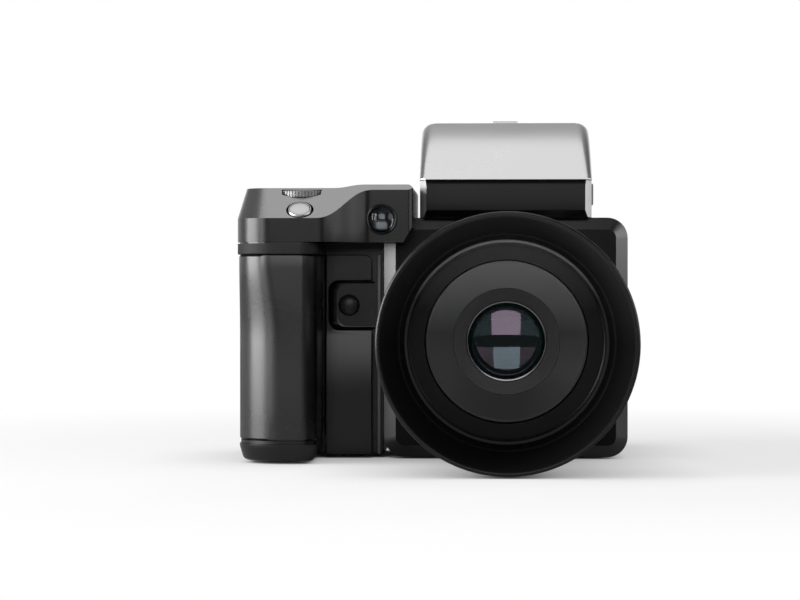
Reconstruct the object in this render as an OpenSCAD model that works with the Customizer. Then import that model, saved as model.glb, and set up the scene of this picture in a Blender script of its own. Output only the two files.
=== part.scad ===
// A medium format single lens reflex camera: camera box with mirror and shutter, hand grip,
// prism finder, lens with hood, and digital back.
// x runs to the right as seen from the front, y from the lens to the back and z up, in millimetres.
// The origin is the mouth of the large tripod socket, on the table and below the lens axis.

/* [Camera box] */
// Width of the camera box
box_w = 95; // [92:0.5:104]
// Height of the top of the camera box above the table
box_h = 94; // [93:0.5:100]
// Depth of the camera box from its front face to the digital back
box_d = 60; // [59:0.5:66]
// Radius of the four long corners of the box
box_r = 8; // [6:0.5:12]
// Width of the bevel round the front of the box
box_bevel = 4.6; // [2:0.2:5.4]
// How far that bevel falls back from the front face
bevel_fall = 1.4; // [1:0.1:5]
// Height of the lens axis above the table
axis_z = 46.8; // [46.6:0.1:48.5]
// Distance from the front face back to the large tripod socket
tripod_setback = 33; // [28:0.5:36]
// Thickness of the front wall round the lens mount
front_wall = 4; // [3:0.5:5]
// Width of the mirror chamber
chamber_w = 66; // [64:0.5:68]
// Height of the chamber floor above the table
chamber_floor = 17; // [14:0.5:20]
// Thickness of the black front plate
front_plate_t = 0.8; // [0.6:0.1:1.4]

/* [Base] */
// Width of the base plate
base_w = 70; // [60:1:78]
// Length of the base plate from front to back
base_d = 44; // [36:1:48]
// Thickness of the base plate
base_t = 2.4; // [1.6:0.1:4]
// How far the base plate stands out below the box
base_lift = 0.6; // [0.3:0.1:1.2]
// Core radius of the large tripod thread
big_socket_r = 3.97; // [3.6:0.01:4.4]
// Depth of the large tripod socket
big_socket_l = 10; // [8:0.5:13]
// Core radius of the small tripod thread
small_socket_r = 2.55; // [2.4:0.01:3]
// Depth of the small tripod socket
small_socket_l = 8; // [6:0.5:12]
// Sideways distance between the two sockets
socket_spacing = 18; // [15:0.5:22]
// Wall of the threaded bushes
bush_wall = 2.6; // [2:0.1:3.5]

/* [Lens mount] */
// Free radius of the mount ring
mount_r = 27; // [26:0.1:27.4]
// Outer radius of the mount ring
mount_outer_r = 33; // [32.5:0.1:34]
// Thickness of the mount ring in front of the box
mount_t = 1.7; // [1.4:0.1:2.4]
// Radius over the bayonet lugs
lug_r = 28.8; // [28.2:0.1:29]
// Thickness of the bayonet lugs
lug_t = 2; // [1.5:0.1:2.4]
// Number of bayonet lugs
lug_count = 3; // [3:1:3]
// Radius of the lens lock pin
lock_pin_r = 1.3; // [1:0.1:1.5]
// Travel of the lens lock
lock_travel = 2; // [1.6:0.1:2.6]

/* [Mirror and shutter] */
// Width of the mirror
mirror_w = 55; // [50:0.5:56]
// Length of the mirror from its axle to its tip
mirror_l = 43; // [38:0.5:44]
// Thickness of the mirror glass
mirror_t = 1.4; // [1:0.1:2]
// Thickness of the mirror carrier
carrier_t = 2.2; // [1.8:0.1:3]
// Radius of the mirror axle
axle_r = 1.5; // [1.2:0.1:2]
// Height of the mirror axle above the lens axis
axle_rise = 24.2; // [23:0.1:25]
// Width of the film gate
gate_w = 56; // [52:0.5:58]
// Height of the film gate
gate_h = 42; // [38:0.5:43]
// Thickness of the shutter unit
shutter_t = 5; // [4:0.2:6]
// Thickness of one shutter blade
blade_t = 0.4; // [0.3:0.05:0.5]
// Overlap of neighbouring shutter blades
blade_lap = 1.5; // [1:0.1:2]
// Distance from the front of the lens mount to the sensor
flange_focal = 63.3; // [62.5:0.1:66]

/* [Hand grip] */
// Width of the hand housing beside the box
hand_w = 55; // [52:0.5:62]
// Width of the grip column
grip_w = 31.5; // [30:0.5:34]
// How far the grip reaches in front of the box
grip_reach = 35; // [30:0.5:40]
// Radius of the outer front corner of the grip
grip_r = 14; // [10:0.5:15]
// Radius of the inner front corner of the grip
grip_inner_r = 7; // [4:0.5:9]
// Height of the top of the hand housing above the table
hand_top = 84; // [80:0.5:85]
// Height of the seam above the battery cap
seam_z = 7.5; // [6:0.5:10]
// Height of the underside of the battery cap above the table
cap_z = 1; // [0.5:0.1:2]
// Thickness of the rubber skin of the grip
skin_t = 2; // [1.4:0.1:2.4]
// Height of the plain band above the rubber skin
skin_top_band = 4.7; // [3:0.1:8]
// Height of the plain band below the rubber skin
skin_low_band = 1.2; // [1:0.1:3]
// How far the finger panel lies behind the front face of the box
panel_setback = 5; // [4.8:0.1:8]
// How far the finger panel stands out of the housing
panel_t = 2.5; // [1.5:0.1:3.5]
// Width of the groove between the finger panel and the box
panel_groove = 6.4; // [5:0.1:8]
// Height of the top edge of the finger panel above the table
panel_top = 79.7; // [76:0.1:82]
// Height of the lens release above the table
release_z = 59.8; // [50:0.1:64]
// Height of the hollow round the lens release
hollow_h = 19.4; // [14:0.1:22]
// Depth of the hollow round the lens release
hollow_d = 4; // [3:0.1:5]
// Radius of the lens release button
release_r = 4; // [3:0.1:5]
// Width of the battery
battery_w = 22; // [18:0.5:24]
// Depth of the battery from front to back
battery_d = 36; // [30:0.5:40]
// Height of the battery
battery_h = 68; // [60:0.5:71]
// Radius of the long corners of the battery
battery_r = 5; // [4:0.5:8]

/* [Top cover] */
// Rise of the lower edge of the slope above the hand housing
slope_rise = 8.9; // [6.5:0.1:12]
// Angle of the slope
slope_angle = 38; // [34:1:44]
// Rise of the display deck above the hand housing
deck_rise = 20.8; // [19:0.1:23]
// Rise of the inner end of the cover above the deck
crest_rise = 1.4; // [0:0.1:3]
// How far the lamp face stands in front of the box
lamp_reach = 20.7; // [16:0.1:24]
// Gap between the top cover and the finder
cover_gap = 2.1; // [1.5:0.1:4]
// Radius of the shutter button
button_r = 4.7; // [4:0.1:5.2]
// Travel of the shutter button
button_travel = 1.2; // [0.8:0.1:1.6]
// Distance of the shutter button from the outer end of the cover
button_inset = 24.5; // [22:0.1:27]
// Radius of the front dial
dial_r = 9.5; // [8:0.1:10.5]
// Thickness of the front dial
dial_t = 2.8; // [2.2:0.1:3.2]
// Radius of the rear dial
rear_dial_r = 8.5; // [7.5:0.1:9.5]
// Thickness of the rear dial
rear_dial_t = 5; // [4:0.1:6]
// How far the rear dial stands out of the back of the cover
rear_dial_out = 2; // [1.2:0.1:3]
// Radius of the glass of the focus lamp
lamp_r = 5; // [4:0.1:5.4]
// Width of the display glass
display_w = 38; // [30:0.5:42]
// Depth of the display glass
display_d = 26; // [20:0.5:30]
// Thickness of the display glass
display_t = 1.2; // [0.8:0.1:1.6]

/* [Finder] */
// Width of the finder
finder_w = 67; // [64:0.5:72]
// How far the finder stands in front of the box
finder_reach = 5; // [3:0.1:8]
// Height of the finder's lower housing
tray_h = 14.7; // [13:0.1:18]
// Height of the finder roof above the table
roof_z = 132.9; // [130:0.1:138]
// Angle of the sloping roof
roof_angle = 33; // [32:0.5:38]
// Wall of the roof
roof_wall = 2.4; // [1.8:0.1:2.8]
// Radius of the long upper edges of the roof
roof_r = 5.5; // [3:0.1:7]
// Width of the slanted corner strips of the lower housing
tray_cut = 2.8; // [1.5:0.1:4]
// How far those corner cuts run back along the sides
tray_cut_run = 8; // [3:0.5:9]
// Width of the eyepiece block
eyepiece_w = 38; // [36:0.5:44]
// Height of the eyepiece block
eyepiece_h = 26; // [26:0.5:27]
// How far the eyepiece block reaches behind the finder
eyepiece_reach = 24; // [20:0.5:28]
// Radius of the eyepiece lens
eyepiece_r = 10.5; // [9:0.1:11]
// Depth of the eyecup
eyecup_d = 9; // [6:0.5:12]
// Wall of the eyecup
eyecup_wall = 6; // [5:0.2:7]
// Radius of the sight correction knob
diopter_r = 5; // [4:0.1:6]
// Inner width of the accessory shoe
shoe_w = 18.7; // [18.6:0.1:19]
// Height of the slot of the accessory shoe
shoe_slot = 2; // [1.9:0.1:2.2]
// Length of the accessory shoe
shoe_l = 18.5; // [17:0.1:19.5]
// Height of the finder latch
latch_h = 8.4; // [6:0.1:9]
// Length of the finder latch
latch_l = 12; // [8:0.1:16]
// How far the finder latch stands out
latch_out = 1.3; // [1:0.1:2]

/* [Lens] */
// Length of the lens in front of the box
lens_l = 65; // [62:0.5:75]
// Radius of the front barrel
barrel_r = 39.5; // [39.2:0.1:40.5]
// Radius of the rear barrel
barrel_rear_r = 37.5; // [36.5:0.1:39]
// Radius over the ribs of the focus ring
focus_r = 40.6; // [39.5:0.1:41.5]
// Width of the focus ring
focus_w = 24; // [18:0.5:28]
// Distance from the box to the focus ring
focus_start = 20; // [16:0.5:23]
// Number of ribs on the focus ring
focus_ribs = 72; // [48:2:90]
// Core radius of the filter thread
filter_r = 36; // [35.5:0.1:36.2]
// Length of the filter thread
filter_l = 5.5; // [4:0.1:6.5]
// Outer radius of the moving front cell
cell_r = 29.8; // [28:0.1:31]
// Distance from the lens front back to the front cell
cell_setback = 8; // [6.5:0.1:10]
// Radius of the front glass
glass_r = 14; // [12:0.1:16]
// Thickness of the front glass
glass_t = 6; // [4.5:0.1:8]
// Curvature radius of the front glass
glass_curve = 45; // [40:1:80]
// Radius of the rear glass
rear_glass_r = 21; // [18:0.1:22]
// Free radius of the iris
iris_r = 13; // [11:0.1:14]
// Outer radius of the hood's mouth
hood_r = 46.3; // [45:0.1:46.5]
// Length of the hood in front of the lens
hood_l = 40; // [30:0.5:50]
// Wall of the hood at its mouth
hood_wall = 2; // [1.4:0.1:2.6]

/* [Digital back] */
// Width of the digital back
back_w = 91; // [86:0.5:94]
// Height of the digital back
back_h = 88; // [82:0.5:90]
// Depth of the back's housing
back_d = 31; // [28:0.5:40]
// Depth of the back's rear cover
cover_d = 9; // [8:0.5:12]
// Radius of the long corners of the back
back_r = 7; // [5:0.5:9]
// Wall of the back's housing
back_wall = 3; // [2.4:0.1:4]
// Width of the screen glass
screen_w = 70; // [62:0.5:71]
// Height of the screen glass
screen_h = 56; // [48:0.5:62]
// Thickness of the screen glass
screen_t = 2.4; // [1.6:0.1:3]
// Width of one key
key_w = 6; // [5:0.1:6.4]
// Height of one key
key_h = 14; // [10:0.5:18]
// Travel of one key
key_travel = 0.5; // [0.3:0.1:0.8]
// Width of the sensor
sensor_w = 53.7; // [48:0.1:54]
// Height of the sensor
sensor_h = 40.4; // [36:0.1:41]
// Depth of the card door from front to back
door_w = 21; // [18:0.5:23]
// Height of the card door
door_h = 48; // [46:0.5:56]
// Thickness of the card door
door_t = 1.8; // [1.5:0.1:2.2]
// Width of the card slot
card_slot = 3.4; // [3.3:0.1:3.8]

/* [Fits] */
// Gap between pieces that are fixed together
fit = 0.1; // [0.05:0.05:0.2]
// Gap between pieces that move past each other
play = 0.3; // [0.25:0.05:0.4]
// Running gap of pins and axles in their bores
running = 0.05; // [0.03:0.01:0.08]

/* [Hidden] */
$fn = 64;
// Steps of a rounded corner and of the cover's curve
arc_steps = 8;
curve_steps = 12;
// Thin slice and overshoot of cuts
slice = 0.01;
over = 1;

// Box
front_y = -tripod_setback;
rear_y = front_y + box_d;
box_mid_z = (base_lift + box_h) / 2;
box_side_x = box_w / 2;
chamber_front_y = front_y + front_wall;
throat_r = lug_r + 0.7;

// Shutter, mirror and screen
sensor_y = front_y - mount_t + flange_focal;
shutter_y = rear_y - shutter_t - play;
gate_low_z = axis_z - gate_h / 2;
blade_count = 3;
blade_pitch = gate_h / blade_count;
blade_h = blade_pitch + blade_lap;
blade_w = gate_w + 5;
blade_step = blade_t + 0.3;
blade_park = blade_h + 1;
pocket_d = blade_count * blade_step + 0.3;
pocket_w = blade_w + 2 * play;
pocket_low_z = gate_low_z - blade_park - 1;
pocket_top_z = gate_low_z + gate_h + blade_lap + 0.5;
pocket_y = shutter_y + (shutter_t - pocket_d) / 2;
shutter_rim = 2;
shutter_w = max(pocket_w, chamber_w) + 2 * shutter_rim;
carrier_boss_r = axle_r + 1.4;
carrier_shoulder = 0.6;
axle_y = shutter_y - carrier_boss_r - 0.7;
axle_z = axis_z + axle_rise;
axle_seat = 3.5;
mirror_angle = 45;
screen_z = sensor_y - axle_y + axle_z;
screen_glass_t = 1.6;
focus_screen_w = 60;
focus_screen_d = 44;
screen_ledge = 2;
screen_mid_y = axle_y - axle_rise;

// Base
base_mid_y = front_y + box_d / 2;
base_r = 4;
base_screw_inset = 6;
base_head_r = 2.2;
base_head_h = 1.2;
base_shank_r = 1.2;
base_shank_l = 8;

// Mount and lens lock
mount_head_r = 1.5;
mount_head_h = 0.9;
mount_screw_r = mount_outer_r - mount_head_r - 0.5;
mount_shank_r = 0.9;
mount_shank_l = 3.6;
lock_ring_r = 30;
lock_bite = 1.3;
lug_span = 40;
flange_t = 2;
flange_u = mount_t;

// Hand grip
hand_x = -box_side_x - hand_w;
hand_side_x = -box_side_x - fit;
grip_x = hand_x + grip_w;
grip_y = front_y - grip_reach;
panel_y = front_y + panel_setback;
hand_face_y = panel_y + panel_t;
hand_rear_y = rear_y - 6;
hand_low_z = 1.2;
hand_rear_r = 6;
skin_low_z = seam_z + skin_low_band;
skin_top_z = hand_top - skin_top_band;
skin_back_y = hand_face_y - 1;
cap_back_y = skin_back_y;
panel_x = -box_side_x - panel_groove;
panel_edge_x = grip_x + 0.5;
panel_r = 3;
hollow_x = panel_edge_x + 1.2;
hollow_r = 4;
hollow_y = panel_y + hollow_d;
release_x = (hollow_x + panel_x) / 2;
release_out = 2.6;
release_seat = 0.6;
release_floor_y = hollow_y + release_seat + lock_travel + play;
stem_r = 2.2;
wall = 2.6;
rib_w = 2.8;
rib_setback = 0.8;
battery_x = hand_x + grip_w / 2;
battery_y = grip_y + skin_t + wall + 1.4;
shaft_rear_y = battery_y + battery_d + play;
low_front_y = max(cap_back_y + play, shaft_rear_y);
cavity_front_y = max(release_floor_y, shaft_rear_y) + wall;
cavity_rear_y = hand_rear_y - wall - 2;
cavity_top_z = hand_top - wall - 1;
cavity_low_z = hand_low_z + 8;
board_t = 1.6;
board_gap = 4;
board_inset = 2;
boss_r = 2.2;
cap_taper = 3;
thumb_r = 3.4;
thumb_x = hand_x + 0.4 * hand_w;
thumb_z = hand_top - 10;
thumb_out = 1.4;
thumb_travel = 0.8;

// Top cover
cover_x = -finder_w / 2 - cover_gap;
slope_z = hand_top + slope_rise;
deck_z = hand_top + deck_rise;
crest_z = deck_z + crest_rise;
lamp_y = front_y - lamp_reach;
lamp_inset = 11.9;
lamp_rise = 8.7;
lamp_x = cover_x - lamp_inset;
lamp_z = hand_top + lamp_rise;
bezel_wall = 0.7;
lamp_out = 0.8;
lamp_d = 5;
curve_x0 = grip_x + 4;
curve_x1 = grip_x + 18;
cover_corner = [3.7, 6.4];
cover_lean = 0.21;
lid_r = 9;
cover_r = 2;
ridge_y = grip_y + (deck_z - slope_z) / tan(slope_angle);
button_x = hand_x + button_inset;
button_up = 5.2;
button_y = grip_y + button_up * cos(slope_angle);
button_z = slope_z + button_up * sin(slope_angle);
button_depth = 4;
button_out = 0.7;
button_stem_r = 1.8;
dial_roof = 1;
dial_low_z = deck_z - dial_roof - dial_t;
dial_out = 1.6;
dial_slot = 15;
dial_y = grip_y + (dial_low_z + dial_t / 2 - slope_z) / tan(slope_angle) - dial_out + dial_r;
dial_axle_r = 1.6;
dial_axle_l = 4;
dial_ribs = 36;
rib_depth = 0.4;
rear_dial_x = hand_x + 0.36 * hand_w;
rear_dial_y = hand_rear_y - rear_dial_r + rear_dial_out;
rear_dial_z = hand_top + 8;
display_x = hand_x + hand_w / 2;
display_y = max(dial_y + dial_r + 4 + display_d / 2, (ridge_y + hand_rear_y) / 2 - 4);

// Finder
finder_y = front_y - finder_reach;
finder_rear_y = rear_y + 3;
tray_z = box_h + tray_h;
tray_wall = 3;
tray_floor = 1.6;
tray_undercut = [3.2, 2.6];
roof_run = (roof_z - tray_z) / tan(roof_angle);
roof_flat_y = finder_y + roof_run;
roof_top_t = 5.2;
roof_rear_cut = 6;
glass_gap = 0.8;
light_w = focus_screen_w - 6;
light_d = focus_screen_d - 6;
prism_w = finder_w - 2 * (tray_wall + glass_gap);
prism_front_y = max(finder_y + 12, screen_mid_y - light_d / 2 - 2);
prism_rear_y = finder_rear_y - tray_wall - 6;
prism_low_z = box_h + tray_floor;
prism_top_z = roof_z - roof_top_t - glass_gap;
eyepiece_y = finder_rear_y + eyepiece_reach;
eyepiece_top_z = roof_z - 4.2;
eyepiece_low_z = eyepiece_top_z - eyepiece_h;
eyepiece_mid_z = eyepiece_top_z - eyepiece_h / 2;
eyepiece_front_y = finder_rear_y - 5;
eyepiece_t = 4;
eyepiece_curve = 60;
eyecup_r = 8;
diopter_y = eyepiece_y - diopter_r - 3;
diopter_t = 4;
shoe_rail = 1.4;
shoe_lip = 2.8;
shoe_lip_t = 0.7;
shoe_base_t = 1.2;
shoe_stand = 0.2;
shoe_low_z = roof_z + shoe_stand - shoe_lip_t - shoe_slot - shoe_base_t;
shoe_stop = [10, 1.4, 1.2];
shoe_y = finder_rear_y - roof_rear_cut - shoe_l;
latch_in = 2.4;
latch_travel = 1;
latch_z = tray_z - latch_h - 0.8;
latch_y = front_y + 18;

// Lens, measured forward from the front face of the box
barrel_u = flange_u + flange_t;
filter_u = lens_l - filter_l;
focus_end = focus_start + focus_w;
focus_seat_r = focus_r - 4.2;
bore_r = cell_r + play;
iris_u = 20;
iris_plate = 1;
iris_wall = 4;
iris_pin_r = 0.8;
iris_pivot_gap = 9;
iris_pivot_r = iris_r + iris_pivot_gap;
iris_step = 0.75;
iris_blade_t = 0.35;
iris_count = 5;
iris_d = iris_plate + iris_count * iris_step + 0.6;
iris_ear_r = 1.7;
iris_span = 100;
iris_blade_w = 6.2;
cell_u = lens_l - cell_setback;
cell_gap = 3;
cell_rear_u = iris_u + iris_d + cell_gap;
cell_rim = 1;
dish_r = 0.66 * cell_r;
dish_d = 3.8;
dish_step = 0.8;
dish_fall = 5.2;
glass_u = cell_u - dish_d - dish_step - dish_fall;
glass_lip = 0.5;
rear_glass_t = 5;
rear_glass_curve = 70;
hood_u = lens_l + hood_l;
hood_collar_u = focus_end + 4;
hood_collar_wall = 2.6;
hood_lip_t = 1.2;
hood_lip_r = filter_r + 1.3;
groove_u = lens_l - 10;
groove_w = 3;
groove_d = 1.2;
hood_lug_span = 20;
hood_turn = 45;
mouth_round = 0.7;

// Digital back
back_y = rear_y + fit;
back_mid_z = axis_z;
back_side_x = back_w / 2;
back_top_z = back_mid_z + back_h / 2;
cover_y = back_y + back_d;
back_rear_y = cover_y + cover_d;
window_gap = 1.2;
sensor_pad = 5;
sensor_pad_t = 4;
key_x = (screen_w / 2 + back_side_x) / 2;
key_z = screen_h / 2 - key_h / 2 - 3;
key_out = 0.8;
key_depth = 6;
key_r = 1.5;
screen_r = 2;
door_y = back_y + (back_d - door_w) / 2;
door_low_z = back_mid_z - door_h / 2;
door_axis_x = back_side_x - door_t / 2;
door_axis_y = door_y + door_t / 2;
door_pin_r = 0.6;
door_pin_l = 1.5;
door_seat = 6;
card_h = 43.2;
slide_l = 13;
slide_w = 7.4;
slide_t = 2.6;
slide_out = 1.4;
slide_travel = 4;
slide_y = back_y + back_d / 2;

function arc(cx, cy, r, a0, a1) =
  [for (i = [0:arc_steps]) let (a = a0 + (a1 - a0) * i / arc_steps) [cx + r * cos(a), cy + r * sin(a)]];

function round_rect(cx, cy, w, h, r) = concat(
  arc(cx + w / 2 - r, cy + h / 2 - r, r, 0, 90),
  arc(cx - w / 2 + r, cy + h / 2 - r, r, 90, 180),
  arc(cx - w / 2 + r, cy - h / 2 + r, r, 180, 270),
  arc(cx + w / 2 - r, cy - h / 2 + r, r, 270, 360));

function ribbed(r, ribs, depth) =
  [for (i = [0:2 * ribs - 1]) let (a = 180 * i / ribs, q = r - depth * (i % 2)) [q * cos(a), q * sin(a)]];

// Plan of the hand housing: grip column in front, plain block behind, drawn in by inset all round the column
function hand_plan(inset) = concat(
  [[hand_side_x, hand_rear_y]],
  arc(hand_x + inset + hand_rear_r, hand_rear_y - hand_rear_r, hand_rear_r, 90, 180),
  arc(hand_x + grip_r, grip_y + grip_r, grip_r - inset, 180, 270),
  arc(grip_x - grip_inner_r, grip_y + grip_inner_r, grip_inner_r - inset, 270, 360),
  [[grip_x - inset, hand_face_y], [hand_side_x, hand_face_y]]);

// Plan of the grip column alone, drawn in by inset all round
function column_plan(inset) = concat(
  [[grip_x - inset, cap_back_y - inset], [hand_x + inset, cap_back_y - inset]],
  arc(hand_x + grip_r, grip_y + grip_r, grip_r - inset, 180, 270),
  arc(grip_x - grip_inner_r, grip_y + grip_inner_r, grip_inner_r - inset, 270, 360));

// Plan of the top cover: the front edge swings back from the grip to the lamp face
function cover_plan() = concat(
  [[cover_x, hand_rear_y]],
  arc(hand_x + hand_rear_r, hand_rear_y - hand_rear_r, hand_rear_r, 90, 180),
  arc(hand_x + grip_r, grip_y + grip_r, grip_r, 180, 270),
  [for (i = [0:curve_steps]) let (t = i / curve_steps)
    [curve_x0 + (curve_x1 - curve_x0) * t, grip_y + (lamp_y - grip_y) * (1 - cos(180 * t)) / 2]],
  arc(cover_x - cover_r, lamp_y + cover_r, cover_r, 270, 360));

// Front outline of the top cover: low deck, raised inner end with a cut lower corner
function cover_front() = concat(
  [[hand_x, hand_top], [cover_x - cover_corner[0], hand_top], [cover_x, hand_top + cover_corner[1]]],
  arc(cover_x - cover_r, crest_z - cover_r, cover_r, 0, 90),
  [for (i = [0:curve_steps]) let (t = i / curve_steps)
    [curve_x1 + (curve_x0 - curve_x1) * t, crest_z - crest_rise * (1 - cos(180 * t)) / 2]],
  [[hand_x, deck_z]]);

// Plan of the lid of the top cover, drawn in from the outer end and from the front
function lid_plan(end_in, front_in, corner_r) = concat(
  [[cover_x + over, hand_rear_y + over], [hand_x + end_in, hand_rear_y + over]],
  arc(hand_x + end_in + corner_r, grip_y + front_in + corner_r, corner_r, 180, 270),
  [[cover_x + over, grip_y + front_in]]);

// Lid of the top cover: it slopes back from the front edge and leans in at the outer end
module cover_lid() {
  rise = crest_z + over - slope_z;
  hull() {
    flat(hand_top - over, slope_z, lid_plan(0, 0, grip_r));
    flat(crest_z + over - slice, crest_z + over,
      lid_plan(cover_lean * rise, (rise - slice) / tan(slope_angle), lid_r));
  }
}

// Front outline of the finder roof, drawn in by inset
function roof_front(inset, low_z, top_z) = concat(
  [[-finder_w / 2 + inset, low_z], [finder_w / 2 - inset, low_z]],
  arc(finder_w / 2 - roof_r, top_z - roof_r + inset, roof_r - inset, 0, 90),
  arc(-finder_w / 2 + roof_r, top_z - roof_r + inset, roof_r - inset, 90, 180));

module block(x0, x1, y0, y1, z0, z1) {
  translate([x0, y0, z0]) cube([x1 - x0, y1 - y0, z1 - z0]);
}

module flat(z0, z1, outline) {
  translate([0, 0, z0]) linear_extrude(z1 - z0) polygon(outline);
}

module upright(y0, y1, outline) {
  translate([0, y1, 0]) rotate([90, 0, 0]) linear_extrude(y1 - y0) polygon(outline);
}

module sideways(x0, x1, outline) {
  translate([x0, 0, 0]) rotate([90, 0, 90]) linear_extrude(x1 - x0) polygon(outline);
}

module rod_x(y, z, r, x0, x1) {
  translate([x0, y, z]) rotate([0, 90, 0]) cylinder(r = r, h = x1 - x0);
}

module rod_y(x, z, r, y0, y1) {
  translate([x, y1, z]) rotate([90, 0, 0]) cylinder(r = r, h = y1 - y0);
}

module rod_z(x, y, r, z0, z1) {
  translate([x, y, z0]) cylinder(r = r, h = z1 - z0);
}

// Children along the lens axis, with z forward from the front face of the box
module on_lens_axis() {
  translate([0, front_y, axis_z]) rotate([90, 0, 0]) children();
}

module ring(r0, r1, u0, u1) {
  translate([0, 0, u0]) difference() {
    cylinder(r = r1, h = u1 - u0);
    translate([0, 0, -over]) cylinder(r = r0, h = u1 - u0 + 2 * over);
  }
}

// Part of a ring between two angles
module ring_part(r0, r1, u0, u1, mid, span) {
  rotate([0, 0, mid - span / 2]) rotate_extrude(angle = span) polygon([[r0, u0], [r1, u0], [r1, u1], [r0, u1]]);
}

module screw(head_r, head_h, shank_r, shank_l, gap) {
  translate([0, 0, -gap]) cylinder(r = head_r + gap, h = head_h + gap, $fn = 32);
  cylinder(r = shank_r + gap, h = shank_l + gap, $fn = 32);
}

// Rounded block of the camera box with its bevelled front, grown by gap all round
module box_block(gap) {
  hull() {
    upright(front_y + bevel_fall - gap, rear_y, round_rect(0, box_mid_z, box_w + 2 * gap,
      box_h - base_lift + 2 * gap, box_r + gap));
    upright(front_y - gap, front_y + slice - gap, round_rect(0, box_mid_z, box_w - 2 * box_bevel,
      box_h - base_lift - 2 * box_bevel, box_r - box_bevel));
  }
}

module at_base_screws() {
  for (sx = [-1, 1], sy = [-1, 1])
    translate([sx * (base_w / 2 - base_screw_inset), base_mid_y + sy * (base_d / 2 - base_screw_inset), 0])
      children();
}

module base_screw_set(gap) {
  at_base_screws() screw(base_head_r, base_head_h, base_shank_r, base_shank_l, gap);
}

module mount_screw_set(gap) {
  on_lens_axis() for (a = [45:90:315])
    rotate([0, 0, a]) translate([mount_screw_r, 0, mount_t]) mirror([0, 0, 1])
      screw(mount_head_r, mount_head_h, mount_shank_r, mount_shank_l, gap);
}

module bush_set(gap) {
  rod_z(0, 0, big_socket_r + bush_wall + gap, -gap, big_socket_l + gap);
  rod_z(socket_spacing, 0, small_socket_r + bush_wall + gap, -gap, small_socket_l + gap);
}

module base_plate_block(gap) {
  flat(-gap, base_t + gap, round_rect(0, base_mid_y, base_w + 2 * gap, base_d + 2 * gap, base_r + gap));
}

module mirror_box() {
  color([0.28, 0.28, 0.29]) difference() {
    box_block(0);
    block(-chamber_w / 2, chamber_w / 2, chamber_front_y, shutter_y + over, chamber_floor, screen_z - screen_ledge);
    on_lens_axis() translate([0, 0, -front_wall - over]) cylinder(r = throat_r, h = front_wall + 2 * over);
    block(-shutter_w / 2 - fit, shutter_w / 2 + fit, shutter_y, rear_y + over,
      pocket_low_z - shutter_rim - fit, pocket_top_z + shutter_rim + fit);
    block(-light_w / 2, light_w / 2, screen_mid_y - light_d / 2, screen_mid_y + light_d / 2,
      chamber_floor, box_h + over);
    block(-focus_screen_w / 2 - fit, focus_screen_w / 2 + fit, screen_mid_y - focus_screen_d / 2 - fit,
      screen_mid_y + focus_screen_d / 2 + fit, screen_z, box_h + over);
    rod_x(axle_y, axle_z, axle_r + running, -chamber_w / 2 - axle_seat - play, chamber_w / 2 + axle_seat + play);
    rod_y(-lock_ring_r, axis_z, lock_pin_r + running, front_y - over, chamber_front_y + over);
    base_plate_block(fit);
    base_screw_set(fit);
    bush_set(fit);
    mount_screw_set(fit);
  }
}

// Block of the front plate, grown by gap all round
module front_plate_block(gap) {
  upright(front_y - front_plate_t - gap, front_y, round_rect(0, box_mid_z, box_w - 2 * box_bevel + 2 * gap,
    box_h - base_lift - 2 * box_bevel + 2 * gap, box_r - box_bevel + gap));
}

module front_plate() {
  color([0.06, 0.06, 0.065]) difference() {
    front_plate_block(0);
    on_lens_axis() translate([0, 0, -over]) cylinder(r = mount_outer_r + fit, h = front_plate_t + 2 * over);
  }
}

module mount_ring() {
  color([0.72, 0.72, 0.73]) difference() {
    on_lens_axis() ring(mount_r, mount_outer_r, 0, mount_t);
    on_lens_axis() for (i = [0:lug_count - 1])
      ring_part(mount_r - over, lug_r + play, -over, mount_t + over, 360 * (i + 0.5) / lug_count + 30, lug_span + 6);
    rod_y(-lock_ring_r, axis_z, lock_pin_r + running, front_y - mount_t - over, front_y + over);
    mount_screw_set(fit);
  }
}

module mount_screws() {
  color([0.6, 0.6, 0.62]) mount_screw_set(0);
}

module base_plate() {
  color([0.16, 0.16, 0.17]) difference() {
    base_plate_block(0);
    base_screw_set(fit);
    bush_set(fit);
  }
}

module tripod_bushes() {
  color([0.7, 0.66, 0.55]) difference() {
    bush_set(0);
    rod_z(0, 0, big_socket_r, -over, big_socket_l + over);
    rod_z(socket_spacing, 0, small_socket_r, -over, small_socket_l + over);
  }
}

module base_screws() {
  color([0.6, 0.6, 0.62]) base_screw_set(0);
}

module battery_block(gap) {
  flat(seam_z - fit, seam_z - fit + battery_h + gap, round_rect(battery_x, battery_y + battery_d / 2,
    battery_w + 2 * gap, battery_d + 2 * gap, battery_r + gap));
}

// Hollow in the finger panel, open to the groove beside the box
module release_hollow() {
  reach = panel_x - hollow_x + over;
  intersection() {
    upright(panel_y - over, hollow_y,
      round_rect(hollow_x + reach / 2 + hollow_r, release_z, reach + 2 * hollow_r, hollow_h, hollow_r));
    block(hollow_x - over, hollow_x + reach, panel_y - over, hollow_y, hand_low_z, hand_top);
  }
}

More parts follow.
